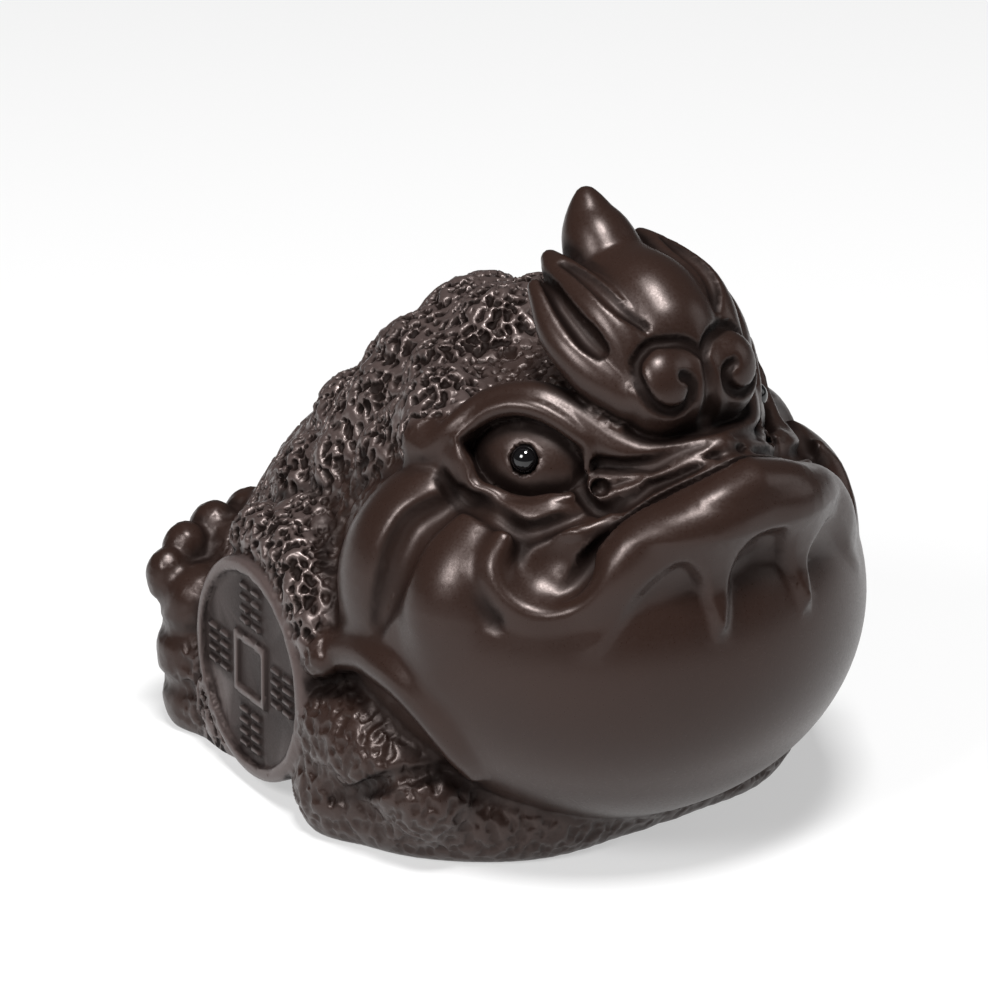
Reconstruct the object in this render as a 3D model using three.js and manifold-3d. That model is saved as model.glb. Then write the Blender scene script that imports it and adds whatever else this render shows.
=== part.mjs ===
// Money toad figure: a squat toad ornament moulded in dark purple-brown clay, with a flame crest,
// a coin seal on each flank and a small black glazed bead set in each eye.
// Millimetres, +Z up. The toad faces -Y, its own right side is -X, and it stands on z = 0.
import * as THREE from 'three';
import Module from 'manifold-3d';
import { mergeVertices } from 'three/addons/utils/BufferGeometryUtils.js';

// Overall size of the figure; the width is that of the clay between the coins
const LENGTH = 107.7;
const WIDTH = 82.7;
const HEIGHT = 88;

// Coin seal on each flank
const COIN_DIAMETER = 32.4;
const COIN_RIM_WIDTH = 2.2;
const COIN_RIM_ROUNDING = 0.9;
const COIN_SINK = 0.9;
const COIN_PROUD = 2.4;
const COIN_ROOT = 11;
const SQUARE_SIDE = 8.2;
const SQUARE_LINE = 1.3;
const STROKE_LENGTH = 2.7;
const STROKE_WIDTH = 0.8;
const STROKE_PITCH = 1.7;
const STROKE_HEIGHT = 0.6;
const STROKE_ROWS = 4;
const STROKE_COLUMNS = 2;
const STROKE_GAP = 0.8;
const STROKE_INSET = 0.3;

// Pupil bead and the bore that it is glued into
const BEAD_DIAMETER = 3.8;
const BEAD_GAP = 0.3;
const BEAD_PROUD = 0.9;

// Mesh: grid of the sculpted skin and the number of triangles kept after simplifying
const GRID = 1.1;
const SKIN_TRIANGLES = 5500;

// The sculpture is drawn at about 108 x 83 x 88 units and fitted to the size above at the end.
// A form has a box, a signed distance, and how it joins the skin: added, carved or lifted.

const mix = (a, b, t) => a + (b - a) * t;
const clamp = (v, low = 0, high = 1) => Math.min(Math.max(v, low), high);

// Smallest of two distances with a fillet of the given softness between them
function blend(a, b, soft) {
  const h = Math.max(soft - Math.abs(a - b), 0) / soft;
  return Math.min(a, b) - h * h * soft * 0.25;
}

// Smooth curve through rows of numbers, sampled at evenly spread steps
function curveThrough(rows, count) {
  const last = rows.length - 1;
  const at = (i, k) => {
    if (i < 0) return 2 * rows[0][k] - rows[1][k];
    if (i > last) return 2 * rows[last][k] - rows[last - 1][k];
    return rows[i][k];
  };
  return Array.from({ length: count }, (_, n) => {
    const t = (n / (count - 1)) * last;
    const i = Math.min(Math.floor(t), last - 1);
    const f = t - i;
    return rows[0].map((_, k) => {
      const [a, b, c, d] = [at(i - 1, k), at(i, k), at(i + 1, k), at(i + 2, k)];
      const slope = (c - a) * f;
      const bend = (2 * a - 5 * b + 4 * c - d) * f * f;
      const twist = (3 * b - a - 3 * c + d) * f * f * f;
      return 0.5 * (2 * b + slope + bend + twist);
    });
  });
}

// Ellipsoid, optionally standing on its own three axes
function ball(centre, radii, axes = [[1, 0, 0], [0, 1, 0], [0, 0, 1]]) {
  const reach = [0, 1, 2].map((k) => Math.hypot(...axes.map((axis, n) => axis[k] * radii[n])));
  return {
    low: centre.map((c, k) => c - reach[k]),
    high: centre.map((c, k) => c + reach[k]),
    distance(x, y, z) {
      let near = 0;
      let slope = 0;
      for (let n = 0; n < 3; n++) {
        const axis = axes[n];
        const along = (x - centre[0]) * axis[0] + (y - centre[1]) * axis[1] + (z - centre[2]) * axis[2];
        near += (along / radii[n]) ** 2;
        slope += (along / radii[n] ** 2) ** 2;
      }
      const k = Math.sqrt(near);
      return (k * (k - 1)) / Math.max(Math.sqrt(slope), 1e-9);
    },
  };
}

// Roll of changing thickness through rows of x, y, z and radius
function roll(rows, count = 20) {
  const path = curveThrough(rows, count);
  return {
    low: [0, 1, 2].map((k) => Math.min(...path.map((p) => p[k] - p[3]))),
    high: [0, 1, 2].map((k) => Math.max(...path.map((p) => p[k] + p[3]))),
    distance(x, y, z) {
      let best = Infinity;
      for (let i = 1; i < path.length; i++) {
        const [ax, ay, az, ar] = path[i - 1];
        const [bx, by, bz, br] = path[i];
        const [dx, dy, dz] = [bx - ax, by - ay, bz - az];
        const along = (x - ax) * dx + (y - ay) * dy + (z - az) * dz;
        const t = clamp(along / Math.max(dx * dx + dy * dy + dz * dz, 1e-9));
        const gap = Math.hypot(x - ax - t * dx, y - ay - t * dy, z - az - t * dz);
        best = Math.min(best, gap - mix(ar, br, t));
      }
      return best;
    },
  };
}

// The clay runs on a little below the ground, and is sliced off flat at z = 0 at the end
const BELOW_GROUND = 3;
const NEAR = 1.5;
const steps = [];
const add = (form, soft) => steps.push({ way: 'add', form, soft });
const carve = (form, soft) => steps.push({ way: 'carve', form, soft });
const lift = (low, high, amount) => steps.push({ way: 'lift', form: { low, high, distance: amount }, soft: 0 });

// Signed distance to the whole sculpture so far; both sides are drawn as the +X side
function skin(px, y, z, margin = NEAR) {
  const x = Math.abs(px);
  let d = 60;
  for (const { way, form, soft } of steps) {
    const reach = soft + margin;
    const { low, high } = form;
    if (x < low[0] - reach || x > high[0] + reach || y < low[1] - reach || y > high[1] + reach) continue;
    if (z < low[2] - reach || z > high[2] + reach) continue;
    const e = form.distance(x, y, z);
    if (way === 'add') d = blend(d, e, soft);
    else if (way === 'carve') d = -blend(-d, e, soft);
    else d -= e;
  }
  return Math.max(d, -BELOW_GROUND - z);
}

function normalAt(x, y, z) {
  const e = 0.2;
  const n = [
    skin(x + e, y, z) - skin(x - e, y, z),
    skin(x, y + e, z) - skin(x, y - e, z),
    skin(x, y, z + e) - skin(x, y, z - e),
  ];
  const size = Math.hypot(...n) || 1;
  return n.map((v) => v / size);
}

// Moves a point to the skin, then out along the normal by the given height
function onSkin(point, height = 0) {
  let [x, y, z] = point;
  for (let i = 0; i < 6; i++) {
    const d = skin(x, y, z);
    const n = normalAt(x, y, z);
    x -= n[0] * d;
    y -= n[1] * d;
    z -= n[2] * d;
  }
  const n = normalAt(x, y, z);
  return [x + n[0] * height, y + n[1] * height, z + n[2] * height];
}

// A raised roll that stands proud of the skin, and a groove in it; both fade where the radius does
function ridge(rows, proud, soft, count = 24) {
  const most = Math.max(...rows.map((row) => row[3]));
  add(roll(rows.map(([x, y, z, r]) => [...onSkin([x, y, z], (proud * r) / most - r), r]), count), soft);
}
function groove(rows, depth, soft, count = 24) {
  const most = Math.max(...rows.map((row) => row[3]));
  carve(roll(rows.map(([x, y, z, r]) => [...onSkin([x, y, z], r - (depth * r) / most), r]), count), soft);
}

// A soft dent, as a thumb leaves it
function press(centre, radii, depth) {
  const low = centre.map((c, k) => c - radii[k]);
  const high = centre.map((c, k) => c + radii[k]);
  lift(low, high, (x, y, z) => {
    const away = [x, y, z].reduce((sum, v, k) => sum + ((v - centre[k]) / radii[k]) ** 2, 0);
    return -depth * clamp(1 - away) ** 2;
  });
}

// Back, haunches, throat pouch and the mass of the head
function body() {
  add(ball([0, -3, 17.5], [30, 33.5, 51.5]), 1);
  add(ball([0, 13.5, 19], [30.7, 30.6, 33.2]), 8);
  add(ball([0, 20, 8], [37, 28, 26]), 8);
  add(ball([0, -22, 31], [37, 36, 30.5]), 6);
  add(ball([0, -21, 45], [26, 25, 16.5]), 6);
  add(ball([0, -27, 58], [18, 16.5, 8.8]), 5);
  add(ball([25, 11, 18], [11, 17, 20]), 4);
  add(ball([23.6, -1, 26], [13.5, 13.4, 12.4]), 4);
  add(roll([[16, -12, 56, 8], [20, -18, 56, 7], [22, -23, 56, 5]], 10), 3);
  // The hide swells up to the front and upper edge of the coin
  add(roll([[31.5, 14.6, 35, 4.5], [33, 5.2, 35.8, 4.5], [34.6, -2, 32.8, 4.6], [35.6, -7.4, 27, 4.4]], 10), 3);
}

// Folds of the rump under a row of four knuckles, creased across twice
const KNUCKLES = [[33.8, 35.4, 22, 3.3], [29.6, 37, 24.2, 3.6], [23.8, 38.4, 25.2, 3.9], [17, 39, 25.2, 4.2]];
const CREASE_HEIGHTS = [15.4, 7];
function rump() {
  add(roll([[31, 31, 19, 5.5], [31, 31.5, 12, 6.5], [30.5, 31, 4, 6.5]], 8), 3);
  add(roll([[23, 36, 22, 6], [23, 37, 12, 7.5], [22.5, 36, 4, 7.5]], 8), 3);
  add(roll([[0, 38, 22, 8], [0, 39, 14, 9], [0, 38, 4, 9]], 8), 6);
  for (const [x, y, z, r] of KNUCKLES) add(ball([x, y, z], [r, r, r + 1]), 1.2);
  for (const z of CREASE_HEIGHTS) {
    groove([[36, 36, z - 0.4, 1], [38, 31, z, 1.5], [36.5, 26, z + 0.5, 1]], 0.8, 1.5, 8);
  }
}

// Two full lobes on each cheek, with soft valleys behind, between and in front of them
function cheeks() {
  add(roll([[23.5, -20, 50.5, 5.8], [27.5, -18.5, 46, 7.9], [29.7, -17, 40, 8.7], [30, -15, 32, 7.2]], 10), 1.2);
  add(roll([[22.5, -28.5, 48.5, 4.8], [26.2, -28.8, 44.5, 7], [28.7, -29, 39, 8.3], [29, -29.5, 31, 7.2]], 10), 1.2);
  groove([
    [28.2, -14, 54.6, 0.5], [26.4, -5.9, 49.7, 1.2], [27, -2.2, 45.9, 1.3], [28.8, -1.5, 42, 1.3],
    [30.6, -2.7, 38.5, 1.3], [32.3, -4.5, 35.1, 0.8],
  ], 0.9, 1);
  groove([
    [25.6, -27.5, 52, 0.8], [27, -26.4, 51.4, 1.4], [29.2, -24, 50, 2], [31.8, -23, 48.4, 2.4],
    [33.5, -22.5, 45.6, 2.5], [34.6, -22.2, 42.8, 2.3], [35.6, -21.6, 39, 1.7], [36.4, -21, 35, 0.9],
  ], 1.9, 1.5);
  groove([
    [25.2, -37.6, 50.1, 1], [26.8, -37, 48.2, 1.5], [29, -37.2, 46, 1.8], [30.2, -38, 43.2, 1.9],
    [30.6, -39, 40.4, 0.9],
  ], 1.7, 1.8);
}

// Muzzle, and the prow of the upper lip, whose roll turns down and hooks round the corner of the mouth
function snout() {
  add(roll([[0, -43.5, 53.5, 6.5], [5, -42.5, 52.5, 6], [9, -40.5, 51, 5]], 10), 3);
  press([15, -41, 56], [8, 7, 8], 2.4);
  add(roll([[0, -49, 54.8, 4.4], [6, -48.8, 53.5, 4], [10.5, -47.8, 51.6, 3.6], [14, -47, 49, 3.2], [17, -46.5, 46.5, 3]]), 2);
  add(roll([[0, -51.3, 51, 4], [6, -51, 49.5, 4], [11, -49.8, 48, 3.6], [15, -48.2, 46, 3.2], [19, -46, 42.6, 2.6]]), 3);
  add(roll([
    [0, -52.8, 55.4, 4.4], [6, -52.9, 54.2, 3.9], [11, -51.4, 52.6, 3], [14.2, -49.3, 51.2, 2.7],
    [17.4, -48.2, 48, 2.7], [20, -46.8, 44.8, 2.8], [22.6, -44.4, 42.2, 2.9], [25.4, -41.2, 41.2, 3],
    [28, -38.2, 42.6, 2.8], [28.6, -36, 46, 2.3], [26.8, -35.4, 49.4, 1.5],
  ], 34), 2);
}

// Lip drape with a scalloped lower edge, given as compass angle from the front and height
const AXIS_Y = -22;
const DRAPE_EDGE = [
  [0, 50.8], [4, 50.2], [7, 47.5], [9, 43], [10.5, 39.8], [12, 38.6], [13.6, 40.5], [16, 45.5], [20, 48.3], [24, 47.8],
  [29, 45.3], [34, 41.2], [38, 38.2], [41, 37.2], [50, 37.2],
];
const DRAPE_THICKNESS = 1.5;
const DRAPE_BEVEL = 2.4;
const MM_PER_DEGREE = 0.6;
function drape() {
  const edge = curveThrough(DRAPE_EDGE, 90);
  lift([0, -75, 34], [40, -24, 60], (x, y, z) => {
    const angle = THREE.MathUtils.radToDeg(Math.atan2(x, AXIS_Y - y));
    const i = clamp(edge.findIndex(([a]) => a > angle), 1, edge.length - 1);
    const [a0, z0] = edge[i - 1];
    const [a1, z1] = edge[i];
    const slope = (z1 - z0) / ((a1 - a0) * MM_PER_DEGREE);
    const height = z - mix(z0, z1, clamp((angle - a0) / (a1 - a0)));
    const t = clamp(height / Math.hypot(1, slope) / DRAPE_BEVEL + 0.5);
    const thickness = DRAPE_THICKNESS - 0.7 * clamp((angle - 15) / 18);
    return thickness * t * t * (3 - 2 * t) * clamp((56 - z) / 4) * clamp((44 - angle) / 10);
  });
}

// Heavy brow ridge with a crease under it
function brow() {
  add(roll([
    [27.2, -19.3, 57.2, 1], [24.6, -21.6, 60.2, 1.8], [20.2, -24, 63.2, 2.4], [16.4, -28.4, 64.2, 2.8],
    [13.6, -32.6, 62.8, 2.8], [11.9, -36.2, 60.8, 2.7], [10.3, -38.9, 59.4, 2.6], [8.4, -41.2, 58.6, 2.5],
    [6.2, -43.3, 58.3, 2.4], [3.6, -45.2, 58.7, 2.3], [0, -46.6, 59.4, 2.2],
  ], 30), 1);
  groove([
    [25, -24.3, 59.4, 0.6], [22, -25.1, 61.6, 0.9], [20.1, -27.6, 63, 1], [17.9, -30.6, 63, 1],
    [16.3, -32.8, 61.3, 0.9], [15.4, -37, 60.1, 0.8],
  ], 0.8, 0.5);
}

// Eye: an almond opening between the lids, filled by the eyeball
const EYE_CENTRE = [20.6, -31.2, 57.8];
const EYE_OUT = new THREE.Vector3(0.8, -0.5, 0.33).normalize();
const EYE_SIDE = new THREE.Vector3(-0.5, -0.84, -0.12).projectOnPlane(EYE_OUT).normalize();
const EYE_UP = new THREE.Vector3().crossVectors(EYE_OUT, EYE_SIDE);
const EYE_OPENING = { width: 17, height: 10.8, depth: 5 };
const EYEBALL = { radii: [10, 8, 7.6], sunk: 7.8 };
const LID_FADE = 0.55;
const inEye = (across, up, out) => new THREE.Vector3(...EYE_CENTRE)
  .addScaledVector(EYE_SIDE, across).addScaledVector(EYE_UP, up).addScaledVector(EYE_OUT, out).toArray();
function eye() {
  const { width, height, depth } = EYE_OPENING;
  const lidRadius = (width ** 2 + height ** 2) / (4 * height);
  const lidShift = lidRadius - height / 2;
  const axes = [EYE_SIDE, EYE_UP, EYE_OUT].map((v) => v.toArray());
  const eyeball = ball(inEye(0, 0, -EYEBALL.sunk), EYEBALL.radii, axes);
  add(ball(inEye(0, 0, -6), [9.5, 6.5, 6], axes), 1);
  add(eyeball, 0.5);
  carve({
    low: EYE_CENTRE.map((c) => c - width / 2 - 2),
    high: EYE_CENTRE.map((c) => c + width / 2 + 2),
    distance(x, y, z) {
      const [across, up, out] = axes.map((axis) =>
        (x - EYE_CENTRE[0]) * axis[0] + (y - EYE_CENTRE[1]) * axis[1] + (z - EYE_CENTRE[2]) * axis[2]);
      const lids = Math.max(Math.hypot(across, up - lidShift), Math.hypot(across, up + lidShift)) - lidRadius;
      return Math.max(lids, Math.abs(out) - depth, -eyeball.distance(x, y, z));
    },
  }, 0.4);
  // Points along the upper or the lower edge of the opening, a little outside it
  const lid = (way, outside, radius) => [-1, -0.75, -0.5, -0.25, 0, 0.25, 0.5, 0.75, 1].map((share) => {
    const turn = share * Math.asin(width / 2 / lidRadius);
    const reach = lidRadius + outside;
    const place = inEye(reach * Math.sin(turn), way * (reach * Math.cos(turn) - lidShift), 0);
    return [...place, radius * (1 - LID_FADE * Math.abs(share) ** 3)];
  });
  ridge(lid(1, 1, 1.1), 0.8, 0.4);
  ridge(lid(-1, 1.2, 1.4), 1.2, 0.4);
  // Crease round the bag under the lower lid
  groove([
    [26.8, -22, 53.5, 0.6], [26.2, -25.6, 51.6, 1.2], [25.6, -31, 50.9, 1.5], [23.9, -36, 50, 1.3],
    [19.7, -39.8, 52, 1.1], [16.9, -40.2, 52.7, 0.6],
  ], 1.3, 1);
}

// Slit above the lip, the fold over it and the pocket at the corner of the mouth
function mouth() {
  groove([
    [23.8, -43.6, 44, 1.2], [21.7, -43.9, 44.8, 1.6], [18.4, -44.6, 48, 1.6], [15.6, -46.2, 52, 1.2],
    [12.3, -47.2, 55, 0.9], [9.4, -48.4, 56.7, 0.8], [7.1, -49.6, 57.8, 0.7], [3.5, -50.6, 58.8, 0.6],
    [0, -51.2, 59.2, 0.6],
  ], 3, 0.4);
  ridge([
    [22.6, -39.4, 49.8, 0.4], [20, -41.4, 50.2, 1], [15.7, -43.3, 51.5, 1],
    [12.2, -44.2, 53.5, 1], [9.2, -45.2, 55.3, 0.9], [6.3, -47, 57, 0.8], [3, -48.8, 58.4, 0.5],
  ], 0.9, 0.6);
  carve(ball(onSkin([23.8, -41.6, 46], 5), [7.2, 7.2, 7]), 1.2);
}

// Teardrop wing with its point to the front, a hole in its round end and folds round it
function nostril() {
  groove([
    [14.6, -36.6, 57.4, 0.4], [12.6, -39.2, 58, 0.8], [11, -40.8, 58.2, 1], [8.3, -42.8, 58.5, 1],
    [5.5, -44.9, 59.2, 0.9], [2.5, -46.6, 60.2, 0.5],
  ], 0.8, 0.9);
  ridge([[13.6, -38.9, 54.5, 3.3], [12.3, -40.6, 55.3, 3.1], [11, -42.6, 56, 2.4], [9.8, -44.4, 56.8, 1.3]], 1.8, 0.5);
  groove([
    [13.4, -36.6, 57.4, 0.5], [14.4, -36.9, 56.2, 0.9], [15.2, -37.4, 54.6, 1], [15.4, -38.8, 52.8, 1],
    [15.2, -41.4, 52.6, 1], [13.6, -43.8, 53.6, 1], [12, -44.6, 54.8, 1], [10.3, -45.4, 56.3, 1],
    [7.8, -46.9, 57.8, 0.9], [4.8, -48, 58.9, 0.7], [2, -48.6, 59.6, 0.4],
  ], 1.2, 0.5, 36);
  ridge([[9.4, -44.6, 56.9, 0.5], [7.6, -46, 57.6, 0.8], [5.2, -47.4, 58.4, 0.8], [2.6, -48.6, 59.2, 0.4]], 0.6, 0.4);
  groove([[13.6, -40.4, 55.2, 0.6], [12, -42, 56, 0.5], [10.6, -43.8, 56.8, 0.3]], 0.6, 0.3);
  carve(ball(onSkin([14.2, -40, 55.2], -0.6), [1.2, 1.2, 1.2]), 0.3);
}

// Arms lie bent along the ground, with a smooth fold of skin over each
function arms() {
  add(roll([[31.2, -11, 14.3, 7.8], [31.2, -9.5, 6.5, 9.9]], 6), 1);
  add(roll([[33.5, -9.5, 15.2, 7.5], [33.5, -16, 14.8, 7.5], [32.5, -21, 12.6, 7], [31, -25, 9.7, 6.5]], 8), 2);
  add(roll([[32.5, -9, 6, 8.5], [28, -21, 6, 8], [17.5, -29.5, 5.8, 7.6], [3, -32, 4.6, 5.6]], 14), 1.2);
  groove([
    [40, -13.9, 7.1, 0.5], [39.1, -18.3, 9.7, 1.1], [38.4, -24.8, 13.6, 1.3], [36.1, -27.1, 14.6, 1.2],
    [31.5, -29.3, 15.2, 0.6],
  ], 1.2, 1);
  ridge([
    [38, -7, 23.2, 1.2], [38.2, -9.8, 26, 2.2], [37.4, -12.5, 27.9, 2.8], [36.8, -17.1, 29.1, 2.9],
    [36.9, -21.2, 29.1, 2.9], [36.8, -24.7, 28.6, 2.9], [36.3, -27.5, 27.2, 2.8], [34.5, -31.2, 23.2, 2.6],
    [32.3, -32.5, 19, 2.3], [30.1, -32.8, 15.8, 1.6],
  ], 1.9, 1.6);
}

// Flame crest: a horn between two pairs of lobes, over two scrolls
const SCROLL_CENTRE = { x: 5.4, z: 68.8 };
const SCROLL_WIDTH = 0.75;
const SCROLL_SAMPLES = 33;
// The scroll's spiral: angle in degrees from the middle of the crest and radius
const SCROLL = [[8, 6.4], [50, 5.6], [90, 4.6], [180, 4.3], [270, 3.5], [350, 2.6], [400, 1.5]];
function crest() {
  const lean = THREE.MathUtils.degToRad(25);
  const leaning = [[1, 0, 0], [0, Math.cos(lean), Math.sin(lean)], [0, -Math.sin(lean), Math.cos(lean)]];
  add(ball([0, -34, 68], [9.8, 11.5, 8.8], leaning), 1);
  add(ball([5.2, -40.5, 66.8], [5.2, 4.5, 6.2]), 0.8);
  add(roll([
    [0, -34.1, 72.2, 7.6], [0, -31, 74.4, 7.5], [0, -26.6, 75.7, 6.7], [0, -23.6, 77.3, 5.9], [0, -21, 80.8, 5],
    [0, -19.6, 82.6, 4], [0, -18.7, 84.9, 2.7], [0, -18.2, 86.4, 1.7],
  ], 32), 1.5);
  add(roll([
    [7.7, -20.3, 80, 1.3], [7.9, -22.9, 78.7, 2.4], [8.1, -26.9, 77.3, 3.2], [8, -31.2, 75.7, 3.7],
    [7.5, -34.4, 73.2, 4], [6.6, -37, 69.8, 4.2],
  ]), 0.6);
  add(roll([
    [11.9, -22.7, 77.5, 1.2], [12.2, -24.9, 75.9, 1.9], [12.7, -28.3, 73, 2.6], [12.3, -31.5, 70.8, 3],
    [10.8, -34.6, 68.4, 3.5], [8, -38, 66.2, 3.8],
  ]), 0.6);
  add(roll([[10.2, -23, 76, 2], [10.2, -28, 73.8, 3], [9.5, -33, 71, 3.6]]), 1);
  groove([
    [10.2, -22.2, 78, 0.7], [10.9, -25.4, 77, 1], [11.3, -28.2, 75.8, 1.2], [11.3, -31, 74.4, 1.4],
    [11, -33.6, 73, 1.6], [10.4, -35, 72.2, 1.2],
  ], 1.6, 0.5);
  groove([
    [8.6, -24.3, 80.8, 0.7], [8.4, -27.2, 80.5, 1], [8.4, -30.7, 79.8, 1.2], [8.3, -33.6, 78.6, 1.2],
    [7.6, -36, 77, 1], [5.9, -38, 75, 0.5],
  ], 1.2, 0.5);
  groove([[0, -45, 71, 0.8], [0, -45.6, 68.5, 1.1], [0, -45.4, 66, 1.3], [0, -44, 63, 1.8]], 1.3, 0.5);
  const turns = curveThrough(SCROLL, SCROLL_SAMPLES).map(([degrees, radius]) => {
    const angle = THREE.MathUtils.degToRad(degrees);
    const x = SCROLL_CENTRE.x - radius * Math.cos(angle);
    const z = SCROLL_CENTRE.z + radius * Math.sin(angle);
    let y = -60;
    while (skin(x, y, z) > 0 && y < -20) y += 0.2;
    return [...onSkin([x, y, z], -0.15), SCROLL_WIDTH];
  });
  carve(roll(turns, SCROLL_SAMPLES), 0.5);
}

// Lumps of the hide: x, y, z near the skin and the radius of each
const WARTS = [
  [2, 8, 66, 8], [4, -4, 67, 8], [12, 7, 62, 7], [15, -4, 62.5, 7], [17, 7, 56, 7], [20, -12, 60, 6], [22, -5, 56, 6.5],
  [20, 10, 51, 7], [23, 9, 46, 6.5], [25, -2, 52, 6.5], [23, 18, 42, 7], [27, -15, 57, 5], [28, 8, 39, 6.5],
  [6, 20, 58, 8], [14, 20, 50, 7], [0, 28, 48, 8],
];
const WART_PROUD = 2.4;
function warts() {
  for (const [x, y, z, r] of WARTS) add(ball(onSkin([x, y, z], WART_PROUD - r), [r, r, r]), 1.5);
}

// Closed mesh of the skin: one vertex in each grid cell that the skin crosses
function meshOfSkin(low, high, step) {
  const BLOCK = 8;
  const count = low.map((l, k) => Math.ceil((high[k] - l) / step / BLOCK) * BLOCK + 1);
  const [nx, ny, nz] = count;
  const value = new Float32Array(nx * ny * nz).fill(9);
  const at = (i, j, k) => (i * ny + j) * nz + k;
  const blockReach = BLOCK * step;
  for (let bi = 0; bi < nx - 1; bi += BLOCK) {
    for (let bj = 0; bj < ny - 1; bj += BLOCK) {
      for (let bk = 0; bk < nz - 1; bk += BLOCK) {
        const mid = [bi, bj, bk].map((b, k) => low[k] + (b + BLOCK / 2) * step);
        const far = skin(...mid, blockReach * 2);
        const skip = Math.abs(far) > blockReach * 1.3 + 1;
        for (let i = bi; i <= bi + BLOCK; i++) {
          for (let j = bj; j <= bj + BLOCK; j++) {
            for (let k = bk; k <= bk + BLOCK; k++) {
              const n = at(i, j, k);
              if (skip && value[n] === 9) value[n] = Math.sign(far) * 8;
              else if (!skip) value[n] = skin(low[0] + i * step, low[1] + j * step, low[2] + k * step);
            }
          }
        }
      }
    }
  }
  const corners = [0, 1, 2, 3, 4, 5, 6, 7].map((c) => [c >> 2, (c >> 1) & 1, c & 1]);
  const pairs = [[0, 1], [0, 2], [0, 4], [1, 3], [1, 5], [2, 3], [2, 6], [3, 7], [4, 5], [4, 6], [5, 7], [6, 7]];
  // A cell where two sheets of skin meet would pinch the mesh, so its faintest empty corner is filled
  const pinched = Array.from({ length: 256 }, (_, signs) => {
    const group = corners.map((_, c) => c);
    for (let n = 0; n < 8; n++) {
      for (const [a, b] of pairs) {
        if (((signs >> a) & 1) === ((signs >> b) & 1)) group[a] = group[b] = Math.min(group[a], group[b]);
      }
    }
    return new Set(group).size > 2;
  });
  const offsets = corners.map(([a, b, c]) => at(a, b, c));
  for (let changes = 1; changes > 0;) {
    changes = 0;
    for (let i = 0; i < nx - 1; i++) {
      for (let j = 0; j < ny - 1; j++) {
        for (let k = 0; k < nz - 1; k++) {
          const cell = at(i, j, k);
          let signs = 0;
          for (let c = 0; c < 8; c++) if (value[cell + offsets[c]] < 0) signs |= 1 << c;
          if (!pinched[signs]) continue;
          const empty = offsets.map((offset) => cell + offset).filter((n) => value[n] >= 0);
          value[empty.reduce((best, n) => (value[n] < value[best] ? n : best))] = -0.1;
          changes++;
        }
      }
    }
  }
  const index = new Int32Array(nx * ny * nz).fill(-1);
  const points = [];
  for (let i = 0; i < nx - 1; i++) {
    for (let j = 0; j < ny - 1; j++) {
      for (let k = 0; k < nz - 1; k++) {
        const v = corners.map(([a, b, c]) => value[at(i + a, j + b, k + c)]);
        if (v.every((d) => d < 0) || v.every((d) => d >= 0)) continue;
        const sum = [0, 0, 0];
        let hits = 0;
        for (const [a, b] of pairs) {
          if (v[a] < 0 === v[b] < 0) continue;
          const t = v[a] / (v[a] - v[b]);
          for (let n = 0; n < 3; n++) sum[n] += mix(corners[a][n], corners[b][n], t);
          hits++;
        }
        index[at(i, j, k)] = points.length;
        points.push([i, j, k].map((c, n) => low[n] + (c + sum[n] / hits) * step));
      }
    }
  }
  const faces = [];
  const ways = [[[1, 0, 0], [0, 1, 0], [0, 0, 1]], [[0, 1, 0], [0, 0, 1], [1, 0, 0]], [[0, 0, 1], [1, 0, 0], [0, 1, 0]]];
  for (let i = 1; i < nx - 1; i++) {
    for (let j = 1; j < ny - 1; j++) {
      for (let k = 1; k < nz - 1; k++) {
        const here = value[at(i, j, k)] < 0;
        for (const [d, a, b] of ways) {
          if (here === value[at(i + d[0], j + d[1], k + d[2])] < 0) continue;
          const q = [[0, 0], [1, 0], [1, 1], [0, 1]].map(([s, t]) =>
            index[at(i - s * a[0] - t * b[0], j - s * a[1] - t * b[1], k - s * a[2] - t * b[2])]);
          if (!here) q.reverse();
          faces.push([q[0], q[1], q[2]], [q[0], q[2], q[3]]);
        }
      }
    }
  }
  return { points, faces };
}

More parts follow.
